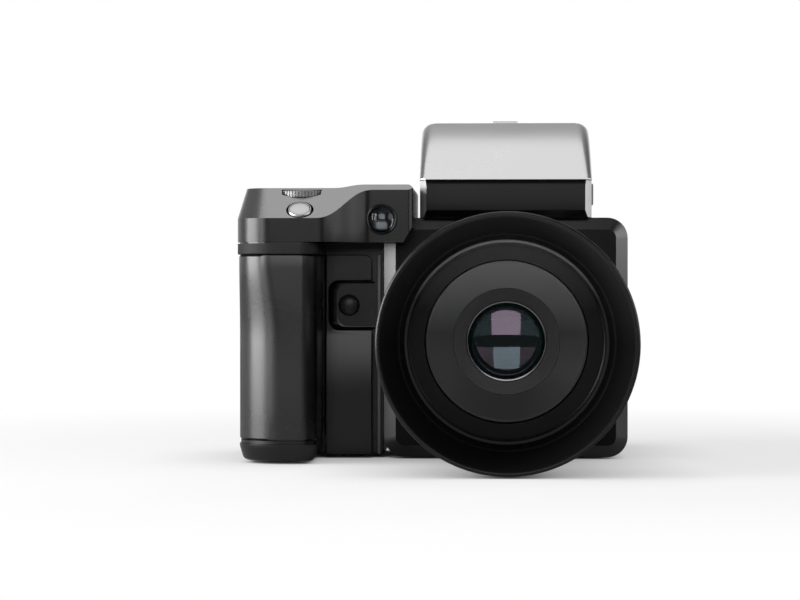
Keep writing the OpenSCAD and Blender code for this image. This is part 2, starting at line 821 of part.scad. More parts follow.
module hand_housing() {
  color([0.09, 0.09, 0.1]) difference() {
    union() {
      flat(seam_z, hand_top, hand_plan(0));
      block(hand_x + hand_rear_r, hand_side_x, low_front_y, hand_rear_y, hand_low_z, seam_z + over);
      intersection() {
        upright(panel_y, hand_face_y + over, round_rect((panel_x + grip_x) / 2, (hand_low_z + panel_top) / 2,
          panel_x - grip_x + 2 * panel_r, panel_top - hand_low_z, panel_r));
        block(panel_edge_x, panel_x, panel_y, hand_face_y + over, hand_low_z, panel_top);
      }
      block(hand_side_x - rib_w, hand_side_x, panel_y + rib_setback, hand_face_y + over, hand_low_z, panel_top);
    }
    difference() {
      block(hand_x - over, grip_x + over, grip_y - over, skin_back_y, skin_low_z, skin_top_z);
      flat(skin_low_z - over, skin_top_z + over, hand_plan(skin_t + fit));
    }
    release_hollow();
    battery_block(play);
    block(hand_x + skin_t + wall, -box_side_x - wall, cavity_front_y, cavity_rear_y, cavity_low_z, cavity_top_z);
    rod_y(release_x, release_z, release_r + play, hollow_y - over, release_floor_y);
    rod_y(release_x, release_z, stem_r + running, hollow_y - over, cavity_front_y + over);
    rod_y(thumb_x, thumb_z, thumb_r + play, hand_rear_y - wall, hand_rear_y + over);
  }
}

module grip_rubber() {
  color([0.13, 0.13, 0.14]) difference() {
    intersection() {
      flat(skin_low_z + fit, skin_top_z - fit, hand_plan(0));
      block(hand_x - over, grip_x + over, grip_y - over, skin_back_y - fit, seam_z, hand_top);
    }
    flat(skin_low_z - over, skin_top_z + over, hand_plan(skin_t));
  }
}

// Frame on the slope of the top cover at the shutter button, with z square to the slope
module on_slope() {
  translate([button_x, button_y, button_z]) rotate([slope_angle, 0, 0]) children();
}

module top_cover() {
  color([0.6, 0.6, 0.61]) difference() {
    intersection() {
      flat(hand_top, crest_z, cover_plan());
      upright(grip_y - over, hand_rear_y + over, cover_front());
      cover_lid();
    }
    box_block(fit);
    front_plate_block(fit);
    on_slope() translate([0, 0, -button_depth - button_travel - play])
      cylinder(r = button_r + play, h = 4 * button_depth);
    on_slope() translate([0, 0, -2 * button_depth - play])
      cylinder(r = button_stem_r + running, h = 2 * button_depth);
    rod_z(button_x, dial_y, dial_r + play, dial_low_z - play, dial_low_z + dial_t + play);
    rod_z(button_x, dial_y, dial_axle_r + running, dial_low_z - dial_axle_l - play, dial_low_z);
    block(button_x - dial_slot / 2, button_x + dial_slot / 2, grip_y, dial_y,
      dial_low_z - play, dial_low_z + dial_t + play);
    rod_z(rear_dial_x, rear_dial_y, rear_dial_r + play, rear_dial_z - play, rear_dial_z + rear_dial_t + play);
    rod_z(rear_dial_x, rear_dial_y, dial_axle_r + running, rear_dial_z - dial_axle_l - play, rear_dial_z);
    rod_y(lamp_x, lamp_z, lamp_r + bezel_wall + 2 * fit, lamp_y - grip_reach, lamp_y + lamp_d);
    flat(deck_z - display_t, crest_z + over,
      round_rect(display_x, display_y, display_w + 2 * fit, display_d + 2 * fit, cover_r));
  }
}

module lamp_bezel() {
  color([0.2, 0.2, 0.21]) difference() {
    rod_y(lamp_x, lamp_z, lamp_r + bezel_wall + fit, lamp_y - lamp_out, lamp_y + lamp_d);
    rod_y(lamp_x, lamp_z, lamp_r, lamp_y - lamp_out - over, lamp_y + lamp_d + over);
  }
}

module lamp_lens() {
  dome_r = 1.6 * lamp_r;
  color([0.25, 0.27, 0.3]) intersection() {
    rod_y(lamp_x, lamp_z, lamp_r - fit, lamp_y - 2 * lamp_out, lamp_y + lamp_d - fit);
    translate([lamp_x, lamp_y - 2 * lamp_out + dome_r, lamp_z]) sphere(r = dome_r);
  }
}

module display_glass() {
  color([0.03, 0.03, 0.035])
    flat(deck_z - display_t, deck_z, round_rect(display_x, display_y, display_w, display_d, cover_r));
}

module main_board() {
  x0 = hand_x + skin_t + wall + board_inset;
  x1 = -box_side_x - wall - board_inset;
  z0 = cavity_low_z + board_inset;
  z1 = cavity_top_z - board_inset;
  color([0.05, 0.25, 0.12]) {
    block(x0, x1, cavity_rear_y - board_gap - board_t, cavity_rear_y - board_gap, z0, z1);
    for (x = [x0 + 2 * boss_r, x1 - 2 * boss_r], z = [z0 + 2 * boss_r, z1 - 2 * boss_r])
      rod_y(x, z, boss_r, cavity_rear_y - board_gap - slice, cavity_rear_y);
  }
}

module focusing_screen() {
  color([0.75, 0.78, 0.8]) block(-focus_screen_w / 2, focus_screen_w / 2, screen_mid_y - focus_screen_d / 2,
    screen_mid_y + focus_screen_d / 2, screen_z, screen_z + screen_glass_t);
}

module shutter_frame() {
  color([0.1, 0.1, 0.1]) difference() {
    block(-shutter_w / 2, shutter_w / 2, shutter_y, shutter_y + shutter_t,
      pocket_low_z - shutter_rim, pocket_top_z + shutter_rim);
    block(-gate_w / 2, gate_w / 2, shutter_y - over, shutter_y + shutter_t + over, gate_low_z, gate_low_z + gate_h);
    block(-pocket_w / 2, pocket_w / 2, pocket_y, pocket_y + pocket_d, pocket_low_z, pocket_top_z);
  }
}

// One blade of the shutter curtain, counted from the lowest
module shutter_blade(i) {
  y = pocket_y + 0.3 + (i - 1) * blade_step;
  z = gate_low_z - blade_lap / 2 + (i - 1) * blade_pitch;
  color([0.16, 0.16, 0.17]) block(-blade_w / 2, blade_w / 2, y, y + blade_t, z, z + blade_h);
}

// Frame on the mirror axle, with y along the mirror to its tip and z out of its face
module on_mirror() {
  translate([0, axle_y, axle_z]) rotate([mirror_angle, 0, 0]) mirror([0, 1, 0]) children();
}

module mirror_carrier() {
  color([0.2, 0.2, 0.21]) union() {
    on_mirror() translate([-mirror_w / 2, 0, -carrier_t]) cube([mirror_w, mirror_l, carrier_t]);
    rod_x(axle_y, axle_z, carrier_boss_r, -mirror_w / 2 - carrier_shoulder, mirror_w / 2 + carrier_shoulder);
    rod_x(axle_y, axle_z, axle_r, -chamber_w / 2 - axle_seat, chamber_w / 2 + axle_seat);
  }
}

module mirror_glass() {
  edge = 1;
  color([0.8, 0.82, 0.84]) on_mirror() translate([-mirror_w / 2 + edge, carrier_boss_r + edge, 0])
    cube([mirror_w - 2 * edge, mirror_l - carrier_boss_r - 2 * edge, mirror_t]);
}

// Rear block of the finder with the eyepiece, grown by gap all round
module eyepiece_block(gap) {
  upright(eyepiece_front_y - gap, eyepiece_y, round_rect(0, eyepiece_mid_z, eyepiece_w + 2 * gap,
    eyepiece_h + 2 * gap, roof_r));
}

module prism_housing() {
  x1 = finder_w / 2;
  plan = [[-x1, finder_rear_y], [-x1, finder_y + tray_cut_run], [-x1 + tray_cut, finder_y],
    [x1 - tray_cut, finder_y], [x1, finder_y + tray_cut_run], [x1, finder_rear_y]];
  side = [[finder_y + tray_undercut[0], box_h], [finder_rear_y, box_h], [finder_rear_y, tray_z],
    [finder_y, tray_z], [finder_y, box_h + tray_undercut[1]]];
  color([0.07, 0.07, 0.075]) difference() {
    union() {
      intersection() {
        flat(box_h, tray_z, plan);
        sideways(-x1, x1, side);
      }
      eyepiece_block(0);
    }
    block(-x1 + tray_wall, x1 - tray_wall, prism_front_y - glass_gap, prism_rear_y + glass_gap, prism_low_z, roof_z);
    block(-light_w / 2, light_w / 2, screen_mid_y - light_d / 2, screen_mid_y + light_d / 2, box_h - over, roof_z);
    rod_y(0, eyepiece_mid_z, eyepiece_r - 1, prism_rear_y, eyepiece_y + over);
    rod_y(0, eyepiece_mid_z, eyepiece_r + fit, eyepiece_y - eyepiece_t - fit, eyepiece_y + over);
    rod_x(diopter_y, eyepiece_mid_z, dial_axle_r + running, eyepiece_w / 2 - dial_axle_l - play, eyepiece_w / 2 + over);
    block(x1 - tray_wall - over, x1 + over, latch_y - play, latch_y + latch_l + play,
      latch_z - play, latch_z + latch_h + play);
  }
}

module prism_roof() {
  x1 = finder_w / 2;
  rear_z = eyepiece_top_z - 2;
  side = [[finder_y, tray_z], [finder_rear_y, tray_z], [finder_rear_y, rear_z],
    [finder_rear_y - roof_rear_cut, roof_z], [roof_flat_y, roof_z]];
  in_y = finder_y + roof_wall / sin(roof_angle);
  in_z = roof_z - roof_top_t;
  hollow = [[in_y, tray_z], [in_y - over / tan(roof_angle), tray_z - over], [finder_rear_y - tray_wall, tray_z - over],
    [finder_rear_y - tray_wall, in_z], [in_y + (in_z - tray_z) / tan(roof_angle), in_z]];
  color([0.72, 0.72, 0.73]) difference() {
    intersection() {
      upright(finder_y, finder_rear_y, roof_front(0, tray_z, roof_z));
      sideways(-x1, x1, side);
    }
    sideways(-x1 + roof_wall, x1 - roof_wall, hollow);
    eyepiece_block(fit);
    block(-eyepiece_w / 2 - fit, eyepiece_w / 2 + fit, eyepiece_front_y, finder_rear_y + over,
      tray_z - over, eyepiece_mid_z);
    block(-shoe_w / 2 - shoe_rail - fit, shoe_w / 2 + shoe_rail + fit, shoe_y - fit, finder_rear_y + over,
      shoe_low_z, roof_z + over);
  }
}

module prism_glass() {
  slope = tan(roof_angle);
  front_z = tray_z + (prism_front_y - finder_y) * slope - (roof_wall + glass_gap) / cos(roof_angle);
  top_y = prism_front_y + (prism_top_z - front_z) / slope;
  rear_cut = 5;
  color([0.75, 0.8, 0.82]) sideways(-prism_w / 2, prism_w / 2, [
    [prism_front_y, prism_low_z], [prism_rear_y, prism_low_z], [prism_rear_y, prism_top_z - rear_cut],
    [prism_rear_y - rear_cut, prism_top_z], [top_y, prism_top_z], [prism_front_y, front_z]]);
}

module hot_shoe() {
  half = shoe_w / 2 + shoe_rail;
  slot_z = shoe_low_z + shoe_base_t;
  lip_z = slot_z + shoe_slot;
  color([0.75, 0.75, 0.76]) {
    block(-half, half, shoe_y, shoe_y + shoe_l, shoe_low_z, slot_z);
    for (s = [0, 1]) mirror([s, 0, 0]) {
      block(shoe_w / 2, half, shoe_y, shoe_y + shoe_l, slot_z - slice, lip_z);
      block(shoe_w / 2 - shoe_lip, half, shoe_y, shoe_y + shoe_l, lip_z - slice, lip_z + shoe_lip_t);
    }
    block(-shoe_stop[0] / 2, shoe_stop[0] / 2, shoe_y, shoe_y + shoe_stop[1], slot_z - slice, roof_z + shoe_stop[2]);
  }
}

module eyepiece_lens() {
  y0 = eyepiece_y - eyepiece_t;
  color([0.6, 0.66, 0.7]) intersection() {
    rod_y(0, eyepiece_mid_z, eyepiece_r, y0, eyepiece_y);
    translate([0, eyepiece_y - eyepiece_curve, eyepiece_mid_z]) sphere(r = eyepiece_curve);
  }
}

module eyecup() {
  w = eyepiece_w + 4;
  h = eyepiece_h + 4;
  color([0.05, 0.05, 0.05]) difference() {
    upright(eyepiece_y, eyepiece_y + eyecup_d, round_rect(0, eyepiece_mid_z, w, h, eyecup_r));
    upright(eyepiece_y - over, eyepiece_y + eyecup_d + over, round_rect(0, eyepiece_mid_z,
      w - 2 * eyecup_wall, h - 2 * eyecup_wall, eyecup_r - 2));
  }
}

module diopter_knob() {
  x = eyepiece_w / 2 + play;
  color([0.1, 0.1, 0.1]) union() {
    translate([x, diopter_y, eyepiece_mid_z]) rotate([0, 90, 0])
      linear_extrude(diopter_t) polygon(ribbed(diopter_r, dial_ribs, rib_depth));
    rod_x(diopter_y, eyepiece_mid_z, dial_axle_r, x - dial_axle_l, x + over);
  }
}

module finder_latch() {
  x1 = finder_w / 2 + latch_out;
  color([0.1, 0.1, 0.1]) block(x1 - latch_out - latch_in, x1, latch_y, latch_y + latch_l, latch_z, latch_z + latch_h);
}

// Outline of the digital back, drawn in by inset
function back_outline(inset) =
  round_rect(0, back_mid_z, back_w - 2 * inset, back_h - 2 * inset, back_r - inset);

module back_housing() {
  window_w = sensor_w + 2 * window_gap;
  window_h = sensor_h + 2 * window_gap;
  in_y = back_y + back_wall;
  seat_x = back_side_x - door_seat;
  color([0.1, 0.1, 0.105]) difference() {
    upright(back_y, cover_y, back_outline(0));
    difference() {
      upright(in_y, cover_y + over, back_outline(back_wall));
      block(seat_x, back_side_x, in_y, cover_y + over, door_low_z - back_wall, door_low_z + door_h + back_wall);
    }
    upright(back_y - over, in_y + over, round_rect(0, axis_z, window_w, window_h, 1));
    block(back_side_x - door_t - play, back_side_x + over, door_axis_y, door_y + door_w + play,
      door_low_z - play, door_low_z + door_h + play);
    rod_z(door_axis_x, door_axis_y, door_t / 2 + play, door_low_z - play, door_low_z + door_h + play);
    block(door_axis_x, back_side_x + over, door_axis_y - door_t / 2 - play, door_axis_y,
      door_low_z - play, door_low_z + door_h + play);
    rod_z(door_axis_x, door_axis_y, door_pin_r + running, door_low_z - door_pin_l - play,
      door_low_z + door_h + door_pin_l + play);
    block(seat_x - over, back_side_x, door_y + door_w / 2, door_y + door_w / 2 + card_slot,
      axis_z - card_h / 2, axis_z + card_h / 2);
    block(-slide_l / 2 - play, slide_l / 2 + slide_travel + play, slide_y - slide_w / 2 - play,
      slide_y + slide_w / 2 + play, back_top_z + slide_out - slide_t - fit, back_top_z + over);
  }
}

// Places of the four keys beside the screen
function key_places() = [[-key_x, key_z], [-key_x, -key_z], [key_x, key_z], [key_x, -key_z]];

module back_cover() {
  color([0.1, 0.1, 0.105]) difference() {
    upright(cover_y, back_rear_y, back_outline(0));
    upright(back_rear_y - screen_t - fit, back_rear_y + over,
      round_rect(0, back_mid_z, screen_w + 2 * fit, screen_h + 2 * fit, screen_r));
    for (p = key_places())
      upright(back_rear_y - key_depth - key_travel - play, back_rear_y + over,
        round_rect(p[0], back_mid_z + p[1], key_w + 2 * play, key_h + 2 * play, key_r + play));
  }
}

module back_key(i) {
  p = key_places()[i - 1];
  color([0.3, 0.3, 0.31]) upright(back_rear_y - key_depth, back_rear_y + key_out,
    round_rect(p[0], back_mid_z + p[1], key_w, key_h, key_r));
}

module image_sensor() {
  pad_y = back_y + back_wall;
  color([0.25, 0.2, 0.3]) {
    block(-sensor_w / 2, sensor_w / 2, sensor_y, pad_y + slice, axis_z - sensor_h / 2, axis_z + sensor_h / 2);
    block(-sensor_w / 2 - sensor_pad, sensor_w / 2 + sensor_pad, pad_y, pad_y + sensor_pad_t,
      axis_z - sensor_h / 2 - sensor_pad, axis_z + sensor_h / 2 + sensor_pad);
  }
}

module screen_glass() {
  color([0.03, 0.03, 0.04]) upright(back_rear_y - screen_t - fit, back_rear_y - fit,
    round_rect(0, back_mid_z, screen_w, screen_h, screen_r));
}

module card_door() {
  z1 = door_low_z + door_h;
  color([0.13, 0.13, 0.135]) union() {
    block(back_side_x - door_t, back_side_x, door_axis_y, door_y + door_w, door_low_z, z1);
    rod_z(door_axis_x, door_axis_y, door_t / 2, door_low_z, z1);
    rod_z(door_axis_x, door_axis_y, door_pin_r, door_low_z - door_pin_l, z1 + door_pin_l);
  }
}

module back_latch() {
  z1 = back_top_z + slide_out;
  color([0.35, 0.35, 0.36])
    block(-slide_l / 2, slide_l / 2, slide_y - slide_w / 2, slide_y + slide_w / 2, z1 - slide_t, z1);
}

module lens_barrel() {
  groove_r = barrel_r - groove_d;
  color([0.07, 0.07, 0.075]) on_lens_axis() difference() {
    rotate_extrude() polygon([
      [rear_glass_r, barrel_u], [barrel_rear_r, barrel_u], [barrel_rear_r, focus_start], [focus_seat_r, focus_start],
      [focus_seat_r, focus_end], [barrel_r, focus_end], [barrel_r, groove_u], [groove_r, groove_u],
      [groove_r, groove_u + groove_w], [barrel_r, groove_u + groove_w], [barrel_r, lens_l], [filter_r, lens_l],
      [filter_r, filter_u], [bore_r, filter_u], [bore_r, iris_u], [rear_glass_r, iris_u]]);
    for (i = [0:lug_count - 1])
      ring_part(groove_r + fit, barrel_r + over, groove_u + groove_w / 2, lens_l + over,
        360 * i / lug_count + hood_turn, hood_lug_span + 6);
  }
}

module lens_bayonet() {
  sleeve_r = mount_r - 2 * fit;
  color([0.75, 0.75, 0.76]) difference() {
    on_lens_axis() union() {
      translate([0, 0, flange_u]) cylinder(r = mount_outer_r, h = flange_t);
      translate([0, 0, -lug_t - fit]) cylinder(r = sleeve_r, h = lug_t + fit + flange_u + slice);
      for (i = [0:lug_count - 1])
        ring_part(sleeve_r - over, lug_r, -lug_t - fit, -fit, 360 * i / lug_count + 30, lug_span);
    }
    on_lens_axis() translate([0, 0, -lug_t - over]) cylinder(r = rear_glass_r + fit, h = barrel_u + lug_t + 2 * over);
    rod_y(-lock_ring_r, axis_z, lock_pin_r + running, front_y - flange_u - lock_bite - fit, front_y - flange_u + over);
  }
}

module rear_element() {
  u0 = barrel_u - rear_glass_t;
  color([0.55, 0.62, 0.66]) on_lens_axis() intersection() {
    translate([0, 0, u0]) cylinder(r = rear_glass_r, h = rear_glass_t);
    translate([0, 0, u0 + rear_glass_curve]) sphere(r = rear_glass_curve);
  }
}

module iris_housing() {
  color([0.12, 0.12, 0.12]) on_lens_axis() {
    ring(iris_r, bore_r - fit, iris_u, iris_u + iris_plate);
    ring(bore_r - iris_wall, bore_r - fit, iris_u, iris_u + iris_d);
    for (i = [0:iris_count - 1]) rotate([0, 0, 360 * i / iris_count])
      translate([iris_pivot_r, 0, iris_u + slice]) cylinder(r = iris_pin_r, h = iris_d - slice, $fn = 32);
  }
}

// One crescent blade of the iris, on its own pin and in its own layer
module iris_blade(i) {
  u = iris_u + iris_plate + play + (i - 1) * iris_step;
  r0 = iris_r + 0.3;
  color([0.2, 0.2, 0.21]) on_lens_axis() rotate([0, 0, 360 * (i - 1) / iris_count]) difference() {
    union() {
      ring_part(r0, r0 + iris_blade_w, u, u + iris_blade_t, iris_span / 2, iris_span);
      translate([iris_pivot_r, 0, u]) cylinder(r = iris_ear_r, h = iris_blade_t, $fn = 32);
      translate([r0 + iris_blade_w / 2, -iris_ear_r, u])
        cube([iris_pivot_r - r0 - iris_blade_w / 2, 2 * iris_ear_r, iris_blade_t]);
    }
    translate([iris_pivot_r, 0, u - over]) cylinder(r = iris_pin_r + running, h = iris_blade_t + 2 * over, $fn = 32);
  }
}

module focus_ring() {
  color([0.09, 0.09, 0.095]) on_lens_axis() difference() {
    translate([0, 0, focus_start + play]) linear_extrude(focus_w - 2 * play)
      polygon(ribbed(focus_r, focus_ribs, 2 * rib_depth));
    translate([0, 0, focus_start - over]) cylinder(r = focus_seat_r + play, h = focus_w + 2 * over);
  }
}

module front_cell() {
  floor_u = cell_u - dish_d - dish_step;
  color([0.16, 0.16, 0.165]) on_lens_axis() difference() {
    rotate_extrude() polygon([
      [glass_r - glass_lip, cell_rear_u], [cell_r, cell_rear_u], [cell_r, cell_u], [cell_r - cell_rim, cell_u],
      [dish_r, cell_u - dish_d], [dish_r, floor_u], [glass_r + cell_rim, glass_u + cell_rim],
      [glass_r - glass_lip, glass_u + cell_rim]]);
    translate([0, 0, glass_u - glass_t - fit]) cylinder(r = glass_r + fit, h = lens_l);
  }
}

module front_element() {
  color([0.45, 0.4, 0.5]) on_lens_axis() intersection() {
    translate([0, 0, glass_u - glass_t]) cylinder(r = glass_r, h = glass_t);
    translate([0, 0, glass_u - glass_curve]) sphere(r = glass_curve);
  }
}

module lens_hood() {
  collar_r = barrel_r + play;
  shoulder_u = lens_l + play;
  lip_u = shoulder_u + hood_lip_t;
  color([0.06, 0.06, 0.065]) on_lens_axis() union() {
    rotate_extrude() polygon([
      [collar_r, hood_collar_u], [collar_r + hood_collar_wall, hood_collar_u],
      [collar_r + hood_collar_wall, groove_u + groove_w], [hood_r - hood_wall / 2, lip_u + 0.2 * hood_l],
      [hood_r, hood_u - mouth_round], [hood_r - mouth_round, hood_u], [hood_r - hood_wall, hood_u],
      [hood_lip_r, lip_u], [hood_lip_r, shoulder_u], [collar_r, shoulder_u]]);
    for (i = [0:lug_count - 1])
      ring_part(barrel_r - groove_d + play, collar_r + over, groove_u + play, groove_u + groove_w - play,
        360 * i / lug_count, hood_lug_span);
  }
}

module shutter_button() {
  crown_r = 5 * button_r;
  color([0.7, 0.7, 0.71]) on_slope() union() {
    intersection() {
      translate([0, 0, -button_depth]) cylinder(r = button_r, h = button_depth + button_out);
      translate([0, 0, button_out - crown_r]) sphere(r = crown_r);
    }
    translate([0, 0, -2 * button_depth + button_travel]) cylinder(r = button_stem_r, h = button_depth);
  }
}

module front_dial() {
  color([0.55, 0.55, 0.56]) union() {
    translate([button_x, dial_y, dial_low_z]) linear_extrude(dial_t) polygon(ribbed(dial_r, dial_ribs, rib_depth));
    rod_z(button_x, dial_y, dial_axle_r, dial_low_z - dial_axle_l, dial_low_z + slice);
  }
}

module rear_dial() {
  color([0.12, 0.12, 0.125]) union() {
    translate([rear_dial_x, rear_dial_y, rear_dial_z]) linear_extrude(rear_dial_t)
      polygon(ribbed(rear_dial_r, dial_ribs, rib_depth));
    rod_z(rear_dial_x, rear_dial_y, dial_axle_r, rear_dial_z - dial_axle_l, rear_dial_z + slice);
  }
}

module thumb_button() {
  color([0.14, 0.14, 0.145])
    rod_y(thumb_x, thumb_z, thumb_r, hand_rear_y - wall + thumb_travel + fit, hand_rear_y + thumb_out);
}

module lens_release() {
  dome_r = 1.5 * release_r;
  color([0.25, 0.25, 0.26]) union() {
    intersection() {
      rod_y(release_x, release_z, release_r, hollow_y - release_out, hollow_y + release_seat);
      translate([release_x, hollow_y - release_out + dome_r, release_z]) sphere(r = dome_r);
    }
    rod_y(release_x, release_z, stem_r, hollow_y, cavity_front_y + over);
  }
}

module lens_lock_pin() {
  color([0.7, 0.7, 0.71])
    rod_y(-lock_ring_r, axis_z, lock_pin_r, front_y - flange_u - lock_bite, chamber_front_y + over);
}

module battery_pack() {
  color([0.2, 0.2, 0.22]) battery_block(0);
}

module battery_cap() {
  color([0.1, 0.1, 0.105]) hull() {
    flat(seam_z - fit - over, seam_z - fit, column_plan(fit));
    flat(cap_z, cap_z + slice, column_plan(cap_taper));
  }
}

mirror_box();
front_plate();
mount_ring();
mount_screws();
base_plate();
tripod_bushes();
base_screws();
hand_housing();
grip_rubber();
top_cover();
lamp_bezel();
lamp_lens();
display_glass();
main_board();
focusing_screen();
shutter_frame();
prism_housing();
prism_roof();
prism_glass();
hot_shoe();
eyepiece_lens();
eyecup();
back_housing();
back_cover();
image_sensor();
screen_glass();
lens_barrel();
lens_bayonet();
rear_element();
iris_housing();
shutter_button();
front_dial();
rear_dial();
thumb_button();
lens_release();
lens_lock_pin();
mirror_carrier();
mirror_glass();
shutter_blade(1);  // shutter_blade_1
shutter_blade(2);  // shutter_blade_2
shutter_blade(3);  // shutter_blade_3
finder_latch();
diopter_knob();
back_key(1);  // back_key_1
back_key(2);  // back_key_2
back_key(3);  // back_key_3
back_key(4);  // back_key_4
card_door();
back_latch();
battery_pack();
battery_cap();
focus_ring();
front_cell();
front_element();
iris_blade(1);  // iris_blade_1
iris_blade(2);  // iris_blade_2
iris_blade(3);  // iris_blade_3
iris_blade(4);  // iris_blade_4
iris_blade(5);  // iris_blade_5
lens_hood();
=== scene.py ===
import math

import bmesh
import bpy
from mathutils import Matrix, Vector


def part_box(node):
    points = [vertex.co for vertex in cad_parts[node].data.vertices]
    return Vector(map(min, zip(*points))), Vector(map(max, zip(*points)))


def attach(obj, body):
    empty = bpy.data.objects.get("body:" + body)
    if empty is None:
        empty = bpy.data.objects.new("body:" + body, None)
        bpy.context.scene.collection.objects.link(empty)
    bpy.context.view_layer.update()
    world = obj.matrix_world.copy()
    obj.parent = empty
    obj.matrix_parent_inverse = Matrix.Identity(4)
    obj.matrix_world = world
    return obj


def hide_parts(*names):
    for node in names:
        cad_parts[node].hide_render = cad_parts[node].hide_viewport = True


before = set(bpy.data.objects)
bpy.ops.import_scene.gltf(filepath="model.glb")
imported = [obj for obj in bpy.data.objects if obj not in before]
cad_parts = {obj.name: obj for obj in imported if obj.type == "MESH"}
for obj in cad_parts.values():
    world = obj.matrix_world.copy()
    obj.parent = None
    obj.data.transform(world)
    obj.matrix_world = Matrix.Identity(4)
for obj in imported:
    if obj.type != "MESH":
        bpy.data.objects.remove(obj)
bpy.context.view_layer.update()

# Studio: a white table that runs back to a white backdrop, a soft light on each side, a narrow one beside
# the left one, a wide one overhead and one above the camera. Two black flags shade the lens from the sides.
scene = bpy.context.scene
scene.view_settings.view_transform = "Standard"
WHITE = (1.0, 1.0, 1.0, 1.0)
AMBIENT = 0.14


def put(tree, socket, value):
    """Links a socket to the output of another node, or sets it to a plain value."""
    if isinstance(value, bpy.types.NodeSocket):
        tree.links.new(value, socket)
    else:
        socket.default_value = value


def wire(tree, node, **values):
    """Sets or links the sockets of a node by their names."""
    for socket, value in values.items():
        put(tree, node.inputs[socket.replace("_", " ")], value)


def add_node(tree, kind, **values):
    """A shader node with its sockets set or linked."""
    made = tree.nodes.new("ShaderNode" + kind)
    wire(tree, made, **values)
    return made


def sum_of(tree, way, first, second):
    """What a math node makes of two links or numbers."""
    made = add_node(tree, "Math")
    made.operation = way
    for place, value in enumerate((first, second)):
        put(tree, made.inputs[place], value)
    return made.outputs[0]


def ramp(tree, value, low, high, first=0.0, last=1.0, kind="LINEAR"):
    """A value carried over from one range to another."""
    made = add_node(tree, "MapRange", Value=value, From_Min=low, From_Max=high, To_Min=first, To_Max=last)
    made.interpolation_type = kind
    return made.outputs[0]


def soft_light(name, place, aim, width, height, level):
    """A rectangular soft light whose face has the given brightness."""
    bpy.ops.object.light_add(type="AREA", location=place)
    lamp = bpy.context.object
    lamp.name = name
    lamp.rotation_euler = (Vector(aim) - Vector(place)).to_track_quat("-Z", "Y").to_euler()
    lamp.data.shape = "RECTANGLE"
    lamp.data.size = width
    lamp.data.size_y = height
    lamp.data.energy = math.pi * width * height * level
    lamp.visible_camera = False


soft_light("left_soft_light", (-0.94, -0.35, 0.30), (-0.09, -0.05, 0.08), 0.74, 0.56, 10.0)
soft_light("left_strip_light", (-0.62, -0.81, 0.33), (-0.045, -0.03, 0.07), 0.19, 0.54, 6.0)
soft_light("right_soft_light", (0.85, -0.42, 0.32), (0.045, -0.03, 0.08), 1.20, 0.52, 1.6)
soft_light("overhead_soft_light", (-0.04, 0.00, 1.00), (-0.03, 0.00, 0.10), 0.90, 0.74, 1.0)
soft_light("front_soft_light", (0.0, -1.40, 0.486), (0.0, -0.08, 0.047), 0.71, 0.66, 1.6)

room = bpy.data.worlds.new("studio_room")
room.use_nodes = True
scene.world = room
tree = room.node_tree
path = add_node(tree, "LightPath")
direction = add_node(tree, "TexCoord")
split = add_node(tree, "SeparateXYZ", Vector=direction.outputs["Generated"])
towards_back = ramp(tree, split.outputs["Y"], -0.1, 0.5, 0.04)
upwards = ramp(tree, split.outputs["Z"], 0.1, 0.4)
aside = ramp(tree, sum_of(tree, "ABSOLUTE", split.outputs["X"], 0.0), 0.15, 0.5, 0.45, 0.12)
shade_above = sum_of(tree, "MULTIPLY", upwards, sum_of(tree, "SUBTRACT", 1.0, aside))
backdrop = sum_of(tree, "MULTIPLY", towards_back, sum_of(tree, "SUBTRACT", 1.0, shade_above))
glossy = sum_of(tree, "MAXIMUM", path.outputs["Is Glossy Ray"], path.outputs["Is Transmission Ray"])
mirrored = sum_of(tree, "MULTIPLY", glossy, backdrop)
ambient = sum_of(tree, "MULTIPLY", sum_of(tree, "SUBTRACT", 1.0, glossy), AMBIENT)
level = sum_of(tree, "MAXIMUM", path.outputs["Is Camera Ray"], sum_of(tree, "ADD", mirrored, ambient))
wire(tree, tree.nodes["Background"], Color=WHITE, Strength=level)

TABLE_FRONT_Y = -0.42
TABLE_SIZE = 9.0
TABLE_Z = -0.0001
bpy.ops.mesh.primitive_plane_add(size=TABLE_SIZE, location=(0.0, TABLE_FRONT_Y + TABLE_SIZE / 2, TABLE_Z))
bpy.ops.object.transform_apply(location=True, rotation=False, scale=False)
table = bpy.context.object
table.name = "table"
white_table = bpy.data.materials.new("white_table")
white_table.use_nodes = True
tree = white_table.node_tree
path = add_node(tree, "LightPath")
mirrored = sum_of(tree, "MAXIMUM", path.outputs["Is Transmission Ray"], path.outputs["Is Glossy Ray"])
paper = add_node(tree, "BsdfDiffuse", Color=ramp(tree, mirrored, 0.0, 1.0, 0.95, 0.40))
# Painted shadow: the table's glow dims by ambient occlusion close to the object, a painted contact shadow
# under and beside it.
painted_contact_shadow = add_node(tree, "AmbientOcclusion", Distance=0.045)
painted_contact_shadow.samples = 8
glow = add_node(tree, "Emission", Color=WHITE, Strength=sum_of(tree, "POWER", painted_contact_shadow.outputs["AO"], 0.45))
place = add_node(tree, "TexCoord")
reach = add_node(tree, "VectorMath", Vector=place.outputs["Object"])
reach.operation = "LENGTH"
far = ramp(tree, reach.outputs["Value"], 0.10, 0.45, 0.66, 1.0, "SMOOTHSTEP")
mixed = add_node(tree, "MixShader", Fac=sum_of(tree, "MULTIPLY", path.outputs["Is Camera Ray"], far))
tree.links.new(paper.outputs[0], mixed.inputs[1])
tree.links.new(glow.outputs[0], mixed.inputs[2])
wire(tree, tree.nodes["Material Output"], Surface=mixed.outputs[0])
table.data.materials.append(white_table)


def plain_finish(name, **values):
    """A finish with the sockets of its shader set."""
    finish = bpy.data.materials.new(name)
    finish.use_nodes = True
    wire(finish.node_tree, finish.node_tree.nodes["Principled BSDF"], **values)
    return finish


